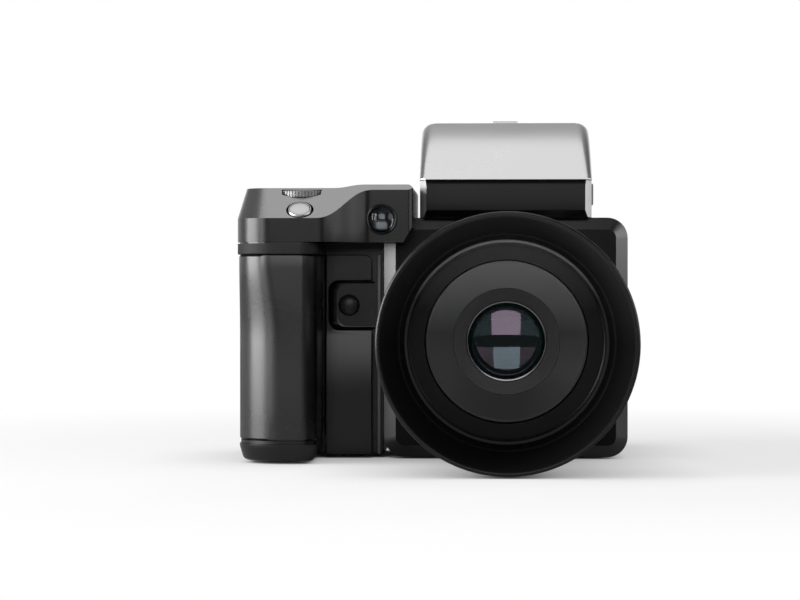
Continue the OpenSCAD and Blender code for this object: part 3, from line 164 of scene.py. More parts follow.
flag_black = plain_finish("flag_black", Base_Color=(0.002, 0.002, 0.002, 1.0))
FLAG_Y = -0.345
FLAG_Z = 0.18
FLAG_TALL = 0.25
for side, x0, x1 in (("left", -0.245, -0.170), ("right", 0.140, 0.235)):
    middle = ((x0 + x1) / 2, FLAG_Y, FLAG_Z)
    bpy.ops.mesh.primitive_plane_add(size=1.0, location=middle, rotation=(math.pi / 2, 0.0, 0.0))
    flag = bpy.context.object
    flag.name = f"{side}_flag"
    flag.scale = (x1 - x0, FLAG_TALL, 1.0)
    flag.visible_camera = False
    flag.visible_glossy = False
    flag.data.materials.append(flag_black)

eye = Vector((-0.006, -1.013, 0.065))
look = Vector((-0.03592, 1.0, -0.00318))
bpy.ops.object.camera_add(location=eye)
camera = bpy.context.object
camera.rotation_euler = look.to_track_quat("-Z", "Y").to_euler()
camera.data.sensor_width = 36.0
camera.data.lens = 113.1
scene.camera = camera

# Camera box: a die-cast light alloy box, bevelled all round its front and painted in glossy black lacquer.
# Its solid is right as it stands, so it only gets rounded edges and its lacquer.
MM = 0.001
SHARP = 35.0
CLOUD_SCALE = 45.0
WEAR_REACH = 0.0005


def shade_of(colour):
    """The four shares of a colour, given as three shares or as one of grey."""
    return (*colour, 1.0) if isinstance(colour, tuple) else (colour, colour, colour, 1.0)


def mix_of(tree, share, first, second):
    """A colour mixed from two links or colours."""
    made = add_node(tree, "Mix")
    made.data_type = "RGBA"
    for place, value in ((0, share), (6, first), (7, second)):
        put(tree, made.inputs[place], value)
    return made.outputs[2]


def make_finish(name, colour, tint, rough, grain=None, metal=0.0, worn=None, specular=0.5, painted_shade_fade=None):
    """A finish with cloudy colour and gloss, and if asked for a grain, rubbed edges or painted shade that
    lightens its colour upwards between two heights.
    """
    finish = plain_finish(name, Metallic=metal, Specular_IOR_Level=specular)
    tree = finish.node_tree
    shader = tree.nodes["Principled BSDF"]
    place = add_node(tree, "TexCoord").outputs["Object"]
    clouds = add_node(tree, "TexNoise", Vector=place, Scale=CLOUD_SCALE, Detail=4.0).outputs["Fac"]
    share = clouds
    # Painted shade: between the two heights the colour turns from the darker colour to the lighter tint,
    # standing in for light that falls on the upper part.
    if painted_shade_fade:
        height = add_node(tree, "SeparateXYZ", Vector=place).outputs["Z"]
        share = ramp(tree, height, painted_shade_fade[0] * MM, painted_shade_fade[1] * MM)
    top = mix_of(tree, share, shade_of(colour), shade_of(tint))
    if grain:
        fine = add_node(tree, "TexNoise", Vector=place, Scale=grain[0], Detail=3.0).outputs["Fac"]
        bump = add_node(tree, "Bump", Height=fine, Strength=1.0, Distance=grain[1])
        wire(tree, shader, Normal=bump.outputs["Normal"])
    if worn:
        edge = add_node(tree, "Bevel", Radius=WEAR_REACH)
        edge.samples = 4
        turn = add_node(tree, "VectorMath", Vector=edge.outputs["Normal"])
        turn.operation = "DOT_PRODUCT"
        put(tree, turn.inputs[1], add_node(tree, "NewGeometry").outputs["Normal"])
        rubbed = ramp(tree, turn.outputs["Value"], 0.99, 0.85, 0.0, 0.8)
        top = mix_of(tree, sum_of(tree, "MULTIPLY", rubbed, clouds), top, shade_of(worn))
    wire(tree, shader, Base_Color=top, Roughness=ramp(tree, clouds, 0.3, 0.7, *rough))
    return finish


def edge_shading(name, limit):
    """A modifier group that shades smooth and keeps every edge sharper than the limit crisp."""
    group = bpy.data.node_groups.new(name, "GeometryNodeTree")
    for way in ("INPUT", "OUTPUT"):
        group.interface.new_socket("Geometry", in_out=way, socket_type="NodeSocketGeometry")
    enter = group.nodes.new("NodeGroupInput")
    leave = group.nodes.new("NodeGroupOutput")
    faces = group.nodes.new("GeometryNodeSetShadeSmooth")
    edges = group.nodes.new("GeometryNodeSetShadeSmooth")
    edges.domain = "EDGE"
    edges.inputs["Shade Smooth"].default_value = False
    angle = group.nodes.new("GeometryNodeInputMeshEdgeAngle")
    sharp = group.nodes.new("FunctionNodeCompare")
    sharp.operation = "GREATER_THAN"
    sharp.inputs[1].default_value = math.radians(limit)
    group.links.new(angle.outputs["Unsigned Angle"], sharp.inputs[0])
    group.links.new(sharp.outputs[0], edges.inputs["Selection"])
    group.links.new(enter.outputs[0], faces.inputs["Geometry"])
    group.links.new(faces.outputs[0], edges.inputs["Geometry"])
    group.links.new(edges.outputs[0], leave.inputs[0])
    return group


crisp_edges = edge_shading("crisp_edges", SHARP)
crisp_bevels = edge_shading("crisp_bevels", 12.0)


def dress(name, finish, edge=0.0, edges=crisp_edges):
    """Gives a solid of the frame its finish, edges rounded by edge millimetres and smooth shading."""
    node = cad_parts[name]
    for slot in node.material_slots:
        slot.material = finish
    weld = node.modifiers.new("weld", "WELD")
    weld.merge_threshold = 0.000002
    if edge:
        plain = node.modifiers.new("plain", "DECIMATE")
        plain.decimate_type = "DISSOLVE"
        plain.angle_limit = math.radians(0.5)
        rounded = node.modifiers.new("rounded", "BEVEL")
        rounded.width = edge * MM
        rounded.segments = 2
        rounded.limit_method = "ANGLE"
        rounded.angle_limit = math.radians(SHARP)
    shading = node.modifiers.new("shading", "NODES")
    shading.node_group = edges
    normals = node.modifiers.new("normals", "WEIGHTED_NORMAL")
    normals.keep_sharp = True


box_lacquer = make_finish(
    "box_lacquer", (0.14, 0.14, 0.142), (0.16, 0.16, 0.162), (0.20, 0.24), None, 1.0, (0.20, 0.20, 0.202)
)
dress("mirror_box", box_lacquer, 0.35, crisp_bevels)

# Front plate, mount and base: a black lacquered plate round the lens, a bright steel mount ring held by four
# screws, and a steel base plate with two threaded bushes. All are turned or stamped and right as they stand.
black_lacquer = make_finish("black_lacquer", 0.003, 0.005, (0.22, 0.28), worn=0.02, specular=0.2)
turned_steel = make_finish("turned_steel", (0.56, 0.56, 0.57), 0.66, (0.22, 0.34), (2600.0, 0.000008), 1.0)
bush_brass = make_finish(
    "bush_brass", (0.66, 0.52, 0.28), (0.72, 0.60, 0.36), (0.28, 0.4), (2600.0, 0.00001), 1.0
)
for name in ("front_plate", "base_plate"):
    dress(name, black_lacquer, 0.2)
for name in ("mount_ring", "mount_screws", "lens_bayonet", "lens_lock_pin", "base_screws"):
    dress(name, turned_steel)
dress("tripod_bushes", bush_brass)

# Inner works: the mirror on its carrier, the focusing screen, the shutter and its blades, the prism, the
# board, the sensor and the iris. They are seen only through the lens, the doors and the battery shaft.
matt_black = make_finish("matt_black", 0.008, 0.012, (0.6, 0.75), (5000.0, 0.00003))
blade_black = make_finish("blade_black", 0.010, 0.016, (0.5, 0.6), specular=0.3)
mirror_silver = make_finish("mirror_silver", (0.86, 0.87, 0.88), 0.90, (0.02, 0.05), metal=1.0)
ground_glass = make_finish(
    "ground_glass", (0.62, 0.64, 0.64), (0.7, 0.72, 0.72), (0.45, 0.6), (9000.0, 0.00001)
)
board_green = make_finish(
    "board_green", (0.01, 0.09, 0.035), (0.015, 0.13, 0.05), (0.4, 0.5), (800.0, 0.00003)
)
sensor_violet = make_finish("sensor_violet", (0.05, 0.035, 0.07), (0.03, 0.05, 0.06), (0.08, 0.12))
prism_clear = make_finish(
    "prism_clear", (0.72, 0.76, 0.76), (0.76, 0.8, 0.8), (0.03, 0.06), (300.0, 0.000001)
)
dress("mirror_glass", mirror_silver)
dress("focusing_screen", ground_glass)
dress("main_board", board_green)
dress("image_sensor", sensor_violet)
dress("prism_glass", prism_clear)
for name in ("mirror_carrier", "shutter_frame", "iris_housing"):
    dress(name, matt_black)
for count in range(1, 4):
    dress(f"shutter_blade_{count}", blade_black)
for count in range(1, 6):
    dress(f"iris_blade_{count}", blade_black)

# Hand housing: a moulded shell beside the box with the grip column in front, a finger panel with the hollow
# of the lens release, and a slim rib along the box. It is moulded in glass-filled plastic and screwed on.
HAND_X = -102.5
GRIP_X = -71.0
GRIP_Y = -68.0
HAND_SIDE_X = -47.6
HAND_REAR_Y = 21.0
HAND_FACE_Y = -25.5
HAND_TOP = 84.0
FOOT_X = -96.5
FOOT_Z = 1.2
SEAM_Z = 7.5
SKIN_LOW = 8.7
SKIN_TOP = 79.3
SKIN_BACK_Y = -26.5
OUTER_R = 14.0
INNER_R = 7.0
REAR_R = 6.0
OVER = 1.0
EDGE_R = 0.4
FOOT_IN = 0.3
TOUCH = 0.000001
CUT_TOUCH = 0.000005
AHEAD = (0.0, -1.0, 0.0)
BEHIND = (0.0, 1.0, 0.0)


def start():
    """Leaves edit mode and clears the selection."""
    if bpy.context.object and bpy.context.object.mode != "OBJECT":
        bpy.ops.object.mode_set(mode="OBJECT")
    bpy.ops.object.select_all(action="DESELECT")


def take(piece):
    """Makes one piece the only selected and the active one."""
    start()
    bpy.context.view_layer.objects.active = piece
    piece.select_set(True)


def arc(cx, cy, r, first, last, steps=12):
    """Points of a round corner."""
    angles = [math.radians(first + (last - first) * i / steps) for i in range(steps + 1)]
    return [(cx + r * math.cos(a), cy + r * math.sin(a)) for a in angles]


def turns(first, last, step):
    """Angles from one to another, both in degrees, turned into radians."""
    return [math.radians(a) for a in range(first, last + step, step)]


def draw(name, points):
    """Draws a line in millimetres by extruding one vertex from point to point, and stays in edit mode."""
    start()
    bpy.ops.mesh.primitive_plane_add(size=MM, location=Vector(points[0]) * MM)
    piece = bpy.context.object
    piece.name = name
    bpy.ops.object.transform_apply(location=True, rotation=False, scale=False)
    bpy.ops.object.mode_set(mode="EDIT")
    bpy.ops.mesh.select_mode(type="VERT")
    bpy.ops.mesh.merge(type="CENTER")
    for here, there in zip(points, points[1:]):
        step = (Vector(there) - Vector(here)) * MM
        bpy.ops.mesh.extrude_vertices_move(TRANSFORM_OT_translate={"value": step})
    bpy.ops.mesh.select_all(action="SELECT")
    return piece


def seal():
    """Turns all faces outwards and leaves edit mode."""
    bpy.ops.mesh.select_all(action="SELECT")
    bpy.ops.mesh.normals_make_consistent(inside=False)
    start()


def slab(name, points, run):
    """A solid from a drawn outline that is filled and pushed along run."""
    piece = draw(name, points)
    bpy.ops.mesh.edge_face_add()
    bpy.ops.mesh.extrude_region_move(TRANSFORM_OT_translate={"value": Vector(run) * MM})
    seal()
    return piece


def flat_slab(name, outline, low, high):
    """A slab from a plan."""
    return slab(name, [(x, y, low) for x, y in outline], (0.0, 0.0, high - low))


def upright_slab(name, outline, front, back):
    """A slab from a front outline."""
    return slab(name, [(x, front, z) for x, z in outline], (0.0, back - front, 0.0))


def sideways_slab(name, outline, left, right):
    """A slab from a side outline."""
    return slab(name, [(left, y, z) for y, z in outline], (right - left, 0.0, 0.0))


def round_rect(cx, cy, w, h, r, steps=8):
    """Points of a rectangle with rounded corners."""
    x = w / 2 - r
    y = h / 2 - r
    return (
        arc(cx + x, cy + y, r, 0, 90, steps) + arc(cx - x, cy + y, r, 90, 180, steps)
        + arc(cx - x, cy - y, r, 180, 270, steps) + arc(cx + x, cy - y, r, 270, 360, steps)
    )


def box_of(x0, x1, y0, y1):
    """Corner points of a plain rectangle."""
    return [(x0, y0), (x1, y0), (x1, y1), (x0, y1)]


def turned(name, profile, centre, axis, steps=96, closed=True):
    """A turned piece: a profile of (place along the axis, radius) drawn once and spun round the axis."""
    axis = Vector(axis).normalized()
    side = axis.orthogonal().normalized()
    line = [Vector(centre) + axis * along + side * radius for along, radius in profile]
    if closed:
        line.append(line[0])
    piece = draw(name, line)
    bpy.ops.mesh.spin(steps=steps, angle=2 * math.pi, center=Vector(centre) * MM, axis=axis)
    bpy.ops.mesh.select_all(action="SELECT")
    bpy.ops.mesh.remove_doubles(threshold=TOUCH)
    seal()
    return piece


def bore(name, at, way, depth, r, rise=6.0, steps=64):
    """A round tool that bores depth down from a point and stands clear above it."""
    return turned(name, [(-depth, 0.0), (-depth, r), (rise, r), (rise, 0.0)], at, way, steps, False)


def carve(piece, tool, way="DIFFERENCE"):
    """Cuts a piece by a tool, joins the two or keeps what both hold, and merges points that touch."""
    take(piece)
    cut = piece.modifiers.new("cut", "BOOLEAN")
    cut.operation = way
    cut.solver = "EXACT"
    cut.object = tool
    bpy.ops.object.modifier_apply(modifier="cut")
    bpy.data.objects.remove(tool)
    bpy.ops.object.mode_set(mode="EDIT")
    bpy.ops.mesh.select_all(action="SELECT")
    bpy.ops.mesh.remove_doubles(threshold=CUT_TOUCH)
    bpy.ops.mesh.dissolve_degenerate(threshold=CUT_TOUCH)
    start()


def soften(piece, width, steps=2, limit=SHARP):
    """Rounds every edge sharper than the limit."""
    take(piece)
    rounded = piece.modifiers.new("rounded", "BEVEL")
    rounded.width = width * MM
    rounded.segments = steps
    rounded.limit_method = "ANGLE"
    rounded.angle_limit = math.radians(limit)
    bpy.ops.object.modifier_apply(modifier="rounded")


def pick(piece, test):
    """Selects the faces whose middle in millimetres and direction pass a test, and stays in edit mode."""
    take(piece)
    bpy.ops.object.mode_set(mode="EDIT")
    bpy.ops.mesh.select_mode(type="FACE")
    bpy.ops.mesh.select_all(action="DESELECT")
    form = bmesh.from_edit_mesh(piece.data)
    for face in form.faces:
        if test(face.calc_center_median() / MM, face.normal):
            face.select_set(True)
    bmesh.update_edit_mesh(piece.data)


def paint(piece, finish, test):
    """Gives the faces that pass a test a finish of their own."""
    piece.data.materials.append(finish)
    pick(piece, test)
    piece.active_material_index = len(piece.data.materials) - 1
    bpy.ops.object.material_slot_assign()
    start()


def fit(piece, finish, slot, body, *nodes, crease=SHARP):
    """Shades a finished piece, gives it its finish and seats it on its body in place of the plain solids."""
    take(piece)
    bpy.ops.object.shade_smooth_by_angle(angle=math.radians(crease))
    normals = piece.modifiers.new("normals", "WEIGHTED_NORMAL")
    normals.keep_sharp = True
    bpy.ops.object.modifier_apply(modifier="normals")
    if not piece.data.materials:
        piece.data.materials.append(finish)
    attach(piece, body)
    if nodes:
        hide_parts(*nodes)


def lofted(name, sections):
    """Draws one section after another and bridges them into a skin, left in edit mode and all selected."""
    lines = [draw(f"{name}_{count}", section) for count, section in enumerate(sections)]
    start()
    for line in lines:
        line.select_set(True)
    bpy.context.view_layer.objects.active = lines[0]
    bpy.ops.object.join()
    piece = bpy.context.object
    piece.name = name
    bpy.ops.object.mode_set(mode="EDIT")
    bpy.ops.mesh.select_mode(type="EDGE")
    bpy.ops.mesh.select_all(action="SELECT")
    bpy.ops.mesh.remove_doubles(threshold=TOUCH)
    bpy.ops.mesh.bridge_edge_loops()
    bpy.ops.mesh.select_all(action="SELECT")
    return piece


def loft_solid(name, sections):
    """A lofted skin of closed sections with both of its ends filled."""
    piece = lofted(name, sections)
    bpy.ops.mesh.fill_holes(sides=0)
    seal()
    return piece


def hand_plan(inset):
    """Plan of the hand housing, drawn in by an inset at its outer side, front and rear."""
    return (
        [(HAND_SIDE_X, HAND_REAR_Y - inset)]
        + arc(HAND_X + REAR_R, HAND_REAR_Y - REAR_R, REAR_R - inset, 90, 180)
        + arc(HAND_X + OUTER_R, GRIP_Y + OUTER_R, OUTER_R - inset, 180, 270, 20)
        + arc(GRIP_X - INNER_R, GRIP_Y + INNER_R, INNER_R - inset, 270, 360)
        + [(GRIP_X - inset, HAND_FACE_Y + inset), (HAND_SIDE_X, HAND_FACE_Y + inset)]
    )


def grip_ring(name, low, high, inset, corner):
    """A tool that trims the grip column all round by an inset, with its outer corner rounded off."""
    ring = flat_slab(name, box_of(HAND_X - OVER, GRIP_X + OVER, GRIP_Y - OVER, SKIN_BACK_Y), low, high)
    centre = inset + corner
    plan = (
        [(GRIP_X - inset, -20.0), (HAND_X + inset, -20.0)]
        + arc(HAND_X + centre, GRIP_Y + centre, corner, 180, 270)
        + arc(GRIP_X - INNER_R, GRIP_Y + INNER_R, INNER_R - inset, 270, 360)
    )
    carve(ring, flat_slab(f"{name}_core", plan, low - OVER, high + OVER))
    return ring


hand_shell = flat_slab("hand_shell", hand_plan(0.0), SEAM_Z, HAND_TOP)
carve(hand_shell, grip_ring("skin_seat", SKIN_LOW, SKIN_TOP, 2.1, 18.0))
soften(hand_shell, EDGE_R, 3)
cover_seam = flat_slab(
    "cover_seam", box_of(HAND_X - OVER, HAND_SIDE_X + OVER, GRIP_Y - OVER, HAND_REAR_Y + OVER),
    HAND_TOP - 0.6, HAND_TOP + OVER,
)
carve(cover_seam, flat_slab("seam_core", hand_plan(0.8), HAND_TOP - 2 * OVER, HAND_TOP + 2 * OVER))
carve(hand_shell, cover_seam)
low_block = flat_slab(
    "low_block", box_of(FOOT_X, HAND_SIDE_X - FOOT_IN, HAND_FACE_Y + FOOT_IN, HAND_REAR_Y - FOOT_IN),
    FOOT_Z, SEAM_Z + OVER,
)
soften(low_block, EDGE_R, 3)
carve(hand_shell, low_block, "UNION")
PANEL_X = -70.5
PANEL_END_X = -52.3
PANEL_TOP = 79.7
PANEL_R = 3.0
PANEL_Y = -28.0
PANEL_FOOT_Y = -29.7
PANEL_ROOT_Y = -24.5
finger_panel = upright_slab(
    "finger_panel",
    [(PANEL_X, FOOT_Z), (PANEL_END_X, FOOT_Z)]
    + arc(PANEL_END_X - PANEL_R, PANEL_TOP - PANEL_R, PANEL_R, 0, 90) + [(PANEL_X, PANEL_TOP)],
    PANEL_FOOT_Y, PANEL_ROOT_Y,
)
lean_shares = [count / 12 for count in range(13)]
panel_lean = (
    [(-24.0, 1.0), (PANEL_FOOT_Y, 1.0)]
    + [(PANEL_FOOT_Y + 1.7 * t * t, 22.0 + 28.0 * t) for t in lean_shares]
    + [(PANEL_Y, 80.0), (-24.0, 80.0)]
)
carve(finger_panel, sideways_slab("panel_lean", panel_lean, -72.0, -51.0), "INTERSECT")
soften(finger_panel, EDGE_R, 3)
carve(hand_shell, finger_panel, "UNION")
slim_rib = flat_slab("slim_rib", box_of(-50.4, -48.9, -27.2, PANEL_ROOT_Y), FOOT_Z, PANEL_TOP)
soften(slim_rib, 0.3)
carve(hand_shell, slim_rib, "UNION")
carve(hand_shell, grip_ring("ring_trim", SEAM_Z - OVER, SKIN_LOW + OVER, 0.9, 17.0))
HOLLOW_X = -65.3
HOLLOW_END_X = -51.3
HOLLOW_LOW = 54.1
HOLLOW_TOP = 65.5
HOLLOW_R = 4.0
HOLLOW_TAPER = 0.4
HOLLOW_MOUTH_Y = -31.0
HOLLOW_DEEP = 4.0
HOLLOW_SCOOP = 3.4


def hollow_outline(depth, inset, rim):
    """Outline of the hollow at one depth, drawn in at its outer end and widened by a rim."""
    x0 = HOLLOW_X + inset
    z0 = HOLLOW_LOW + HOLLOW_TAPER * inset
    z1 = HOLLOW_TOP - HOLLOW_TAPER * inset
    r = HOLLOW_R + rim
    outline = (
        [(HOLLOW_END_X, z0 - r), (HOLLOW_END_X, z1 + r)] + arc(x0, z1, r, 90, 180) + arc(x0, z0, r, 180, 270)
    )
    return [(x, depth, z) for x, z in outline + outline[:1]]


hollow_sections = [hollow_outline(HOLLOW_MOUTH_Y, 0.0, EDGE_R)]
for turn in turns(90, 0, -15):
    rim_y = PANEL_Y + EDGE_R * (1.0 - math.sin(turn))
    hollow_sections.append(hollow_outline(rim_y, 0.0, EDGE_R * (1.0 - math.cos(turn))))
for turn in turns(10, 90, 10):
    scoop_y = PANEL_Y + HOLLOW_DEEP * math.sin(turn)
    hollow_sections.append(hollow_outline(scoop_y, HOLLOW_SCOOP * (1.0 - math.cos(turn)), 0.0))
carve(hand_shell, loft_solid("hollow", hollow_sections))
battery_shaft = flat_slab("battery_shaft", round_rect(-86.75, -44.0, 22.6, 36.6, 5.3), SEAM_Z - OVER, 75.7)
carve(hand_shell, battery_shaft)
RELEASE_AT = (-61.6, -24.0, 59.8)
release_well = turned(
    "release_well", [(-8.0, 0.0), (-8.0, 2.25), (-2.9, 2.25), (-2.9, 4.3), (1.0, 4.3), (1.0, 0.0)],
    RELEASE_AT, AHEAD, 48, False,
)
carve(hand_shell, release_well)
works_room = flat_slab("works_room", box_of(-97.9, -50.1, -18.5, 16.4), 9.2, 80.4)
carve(hand_shell, works_room)
THUMB_AT = (-80.5, HAND_REAR_Y, 74.0)
carve(hand_shell, bore("thumb_well", THUMB_AT, BEHIND, 2.6, 3.7, 1.0, 48))
moulded_black = make_finish("moulded_black", 0.003, 0.005, (0.22, 0.28), worn=0.012, specular=0.7)
collar_matt = make_finish("collar_matt", 0.008, 0.012, (0.55, 0.65), specular=0.35)
rib_grey_painted_highlight = make_finish("rib_grey_painted_highlight", (0.16, 0.16, 0.162), (0.20, 0.20, 0.202), (0.34, 0.40), metal=1.0)
hand_shell.data.materials.append(moulded_black)


def on_collar(at, way):
    """Faces of the collar above the grip skin, with its lower edge."""
    return SKIN_TOP - 0.1 < at.z < HAND_TOP - 0.5 and at.y < SKIN_BACK_Y and way.z < 0.3


paint(hand_shell, collar_matt, on_collar)
# Painted highlight: the front face of the slim rib gets a light grey metal that stands in for the bright
# line of light along it.
paint(hand_shell, rib_grey_painted_highlight, lambda at, way: at.x > -50.5 and at.y < -26.0 and way.y < -0.3)
fit(hand_shell, moulded_black, "black_plastic", "camera", "hand_housing")

# Grip skin: a sculpted rubber skin wrapped round the front of the grip column, fuller at the fingertips and
# rounder below. It is glued into a shallow seat of the hand housing.
skin_levels = [8.9, 9.6, 20.0, 34.0, 46.0, 50.0, 54.0, 58.0, 62.0, 66.0, 70.0, 74.0, 78.4, 79.1]


def skin_section(height):
    """Plan of the skin at one height: the outer corner opens out below the middle of the grip."""
    share = min(1.0, max(0.0, (79.0 - height) / 31.0))
    ease = share * share * (3.0 - 2.0 * share)
    corner = 13.5 + 4.0 * ease
    end = 0.5 if 9.0 < height < 79.0 else 0.9
    x0 = HAND_X + end
    x1 = GRIP_X - end
    y0 = GRIP_Y + end
    plan = (
        [(x0, SKIN_BACK_Y - 0.2), (x0, -34.0), (x0, -41.0)]
        + arc(x0 + corner, y0 + corner, corner, 180, 270, 18) + arc(x1 - 6.5, y0 + 6.5, 6.5, 270, 360, 10)
        + [(x1, -45.0), (x1, -34.0), (x1, SKIN_BACK_Y - 0.2)]
    )
    return [(x, y, height) for x, y in plan]


grip_skin = lofted("grip_skin", [skin_section(height) for height in skin_levels])
bpy.ops.mesh.normals_make_consistent(inside=False)
start()
front_face = min(grip_skin.data.polygons, key=lambda face: face.center.y)
if front_face.normal.y > 0:
    take(grip_skin)
    bpy.ops.object.mode_set(mode="EDIT")
    bpy.ops.mesh.select_all(action="SELECT")
    bpy.ops.mesh.flip_normals()
take(grip_skin)
wall = grip_skin.modifiers.new("wall", "SOLIDIFY")
wall.thickness = 1.0 * MM
wall.offset = -1.0
bpy.ops.object.modifier_apply(modifier="wall")
grip_rubber = make_finish("grip_rubber", 0.003, 0.005, (0.26, 0.31), (1500.0, 0.000004), specular=1.0)
fit(grip_skin, grip_rubber, "rubber", "camera", "grip_rubber")

# Battery: a pack that slides up into the grip column, closed below by its own moulded cap with slanted
# sides. The pack is a plain wrapped block, and the cap is drawn in section by section.
cap_levels = [(7.4, 0.5), (6.6, 0.5), (5.6, 0.7), (2.2, 1.7), (1.4, 2.3), (1.0, 3.2)]


def cap_section(height, inset):
    """Plan of the battery cap at one height."""
    x0 = HAND_X + inset
    x1 = GRIP_X - 0.1 - (7.4 - height) * 0.12 - inset * 0.6
    y0 = GRIP_Y + inset
    outer = 17.0 - inset
    plan = (
        [(x1, SKIN_BACK_Y - inset), (x0, SKIN_BACK_Y - inset)]
        + arc(x0 + outer, y0 + outer, outer, 180, 270, 16) + arc(x1 - 5.0, y0 + 5.0, 5.0, 270, 360, 10)
    )
    return [(x, y, height) for x, y in plan + plan[:1]]


cap = loft_solid("grip_cap", [cap_section(height, inset) for height, inset in cap_levels])
fit(cap, moulded_black, "black_plastic", "battery", "battery_cap", crease=50.0)
pack_wrap = make_finish("pack_wrap", (0.03, 0.03, 0.034), (0.04, 0.04, 0.045), (0.4, 0.5), (900.0, 0.00002))
dress("battery_pack", pack_wrap, 0.8)

# Lens release: a domed button in the hollow of the finger panel, turned from light alloy and lacquered
# black. Its stem runs back through the housing to the lens lock.
dome = [(1.3 + 1.3 * math.sin(turn), 3.8 * math.cos(turn)) for turn in turns(0, 90, 9)]
release = turned(
    "release_button",
    [(-6.5, 0.0), (-6.5, 2.2), (-0.6, 2.2), (-0.6, 3.8), (-0.4, 4.0), (1.0, 4.0)] + dome,
    RELEASE_AT, AHEAD, 64, False,
)
button_black = make_finish("button_black", (0.030, 0.030, 0.031), 0.042, (0.3, 0.36), (5200.0, 0.00001), 0.4)
fit(release, button_black, "black_plastic", "lens_release", "lens_release")

# Top cover: a pressed light alloy cover over the hand housing with a slope for the shutter finger, lacquered
# black round its sides, with its slope and deck painted silver as a painted reflection of the overhead
# light.
# It is cut from three outlines and screwed on from below, and the glass of a small display is let into its
# deck.
UP = (0.0, 0.0, 1.0)
SLOPE_Z = 92.9
DECK_Z = 104.8
CREST_Z = 106.2
LID_TOP = CREST_Z + OVER
COVER_X = -35.6
COVER_FACE_Y = -53.7
COVER_R = 2.0
SLOPE = math.radians(38.0)
SLOPE_WAY = Vector((0.0, -math.sin(SLOPE), math.cos(SLOPE)))
BUTTON_AT = Vector((-78.0, -63.9, 96.1))
DIAL_AT = Vector((-78.0, -47.94, 101.0))
REAR_DIAL_AT = Vector((-82.68, 14.5, 92.0))
LAMP_AT = Vector((-47.5, COVER_FACE_Y, 92.7))


def swing(first, last, steps=16):
    """Points of a soft S from one point to another."""
    run = last[0] - first[0]
    rise = last[1] - first[1]
    shares = [i / steps for i in range(steps + 1)]
    return [(first[0] + run * t, first[1] + rise * (t - math.sin(math.tau * t) / math.tau)) for t in shares]


cover_plan = (
    [(COVER_X, HAND_REAR_Y)] + arc(HAND_X + REAR_R, HAND_REAR_Y - REAR_R, REAR_R, 90, 180)
    + arc(HAND_X + OUTER_R, GRIP_Y + OUTER_R, OUTER_R, 180, 270, 20)
    + swing((-73.0, GRIP_Y), (-49.5, COVER_FACE_Y), 24)
    + arc(COVER_X - COVER_R, COVER_FACE_Y + COVER_R, COVER_R, 270, 360)
)
cover_front = (
    [(HAND_X, HAND_TOP), (-39.3, HAND_TOP), (COVER_X, 90.4)]
    + arc(COVER_X - COVER_R, CREST_Z - COVER_R, COVER_R, 0, 90)
    + swing((-53.0, CREST_Z), (-67.0, DECK_Z)) + [(HAND_X, DECK_Z)]
)


def lid_section(height):
    """Plan of the lid at one height: it slopes back from the front edge and leans in at the outer end."""
    rise = max(0.0, height - SLOPE_Z)
    share = rise / (LID_TOP - SLOPE_Z)
    x0 = HAND_X + 0.21 * rise
    y0 = GRIP_Y + rise / math.tan(SLOPE)
    corner = OUTER_R - 5.0 * share
    plan = (
        [(COVER_X + OVER, HAND_REAR_Y + OVER), (x0, HAND_REAR_Y + OVER)]
        + arc(x0 + corner, y0 + corner, corner, 180, 270, 24) + [(COVER_X + OVER, y0)]
    )
    return [(x, y, height) for x, y in plan + plan[:1]]


cover = flat_slab("top_cover_shell", cover_plan, HAND_TOP, 106.6)
carve(cover, upright_slab("cover_front", cover_front, -69.0, 22.0), "INTERSECT")
lid = loft_solid("cover_lid", [lid_section(height) for height in (HAND_TOP - OVER, SLOPE_Z, LID_TOP)])
carve(cover, lid, "INTERSECT")
box_corner = [(HAND_SIDE_X, 80.0), (-30.0, 80.0), (-30.0, 94.1)] + arc(-39.5, 86.0, 8.1, 90, 180)
carve(cover, upright_slab("box_corner", box_corner, -33.95, 22.0))
DIAL_GAP = 0.3
DIAL_ROOM = 3.1
SLOT_HALF = 7.5
SLOT_SAG = 1.5
carve(cover, bore("button_bore", BUTTON_AT, SLOPE_WAY, 5.5, 5.2))
carve(cover, bore("dial_pocket", DIAL_AT, UP, DIAL_GAP, 9.8, DIAL_ROOM))
slot_shares = [count / 8 - 1.0 for count in range(17)]
slot_outline = (
    [(DIAL_AT.x + SLOT_HALF * t, DIAL_AT.z - DIAL_GAP + SLOT_SAG * t * t) for t in slot_shares]
    + [(DIAL_AT.x + SLOT_HALF, DIAL_AT.z + DIAL_ROOM), (DIAL_AT.x - SLOT_HALF, DIAL_AT.z + DIAL_ROOM)]
)
carve(cover, upright_slab("dial_slot", slot_outline, GRIP_Y, DIAL_AT.y))
carve(cover, bore("rear_dial_pocket", REAR_DIAL_AT, UP, DIAL_GAP, 8.8, 5.3))
carve(cover, bore("lamp_bore", LAMP_AT, AHEAD, 5.0, 5.9))
display_seat = flat_slab("display_seat", round_rect(-75.0, -19.94, 38.2, 26.2, 2.0), DECK_Z - 1.2, 107.0)
carve(cover, display_seat)

cover_black = make_finish("cover_black", 0.003, 0.005, (0.25, 0.30), worn=0.02, specular=0.56)
slope_painted_sheen = make_finish(
    "slope_painted_sheen", (0.25, 0.25, 0.253), (0.29, 0.29, 0.293), (0.26, 0.31), metal=0.9
)
cover.data.materials.append(cover_black)
# Painted reflection: the cover's upward faces are painted silver, standing in for the reflection of the
# overhead light on them.
paint(cover, slope_painted_sheen, lambda at, way: way.z > 0.42 and at.z > 91.0)
fit(cover, cover_black, "silver", "camera", "top_cover", crease=8.0)
display_black = make_finish("display_black", (0.006, 0.006, 0.007), (0.008, 0.008, 0.009), (0.05, 0.08))
dress("display_glass", display_black)

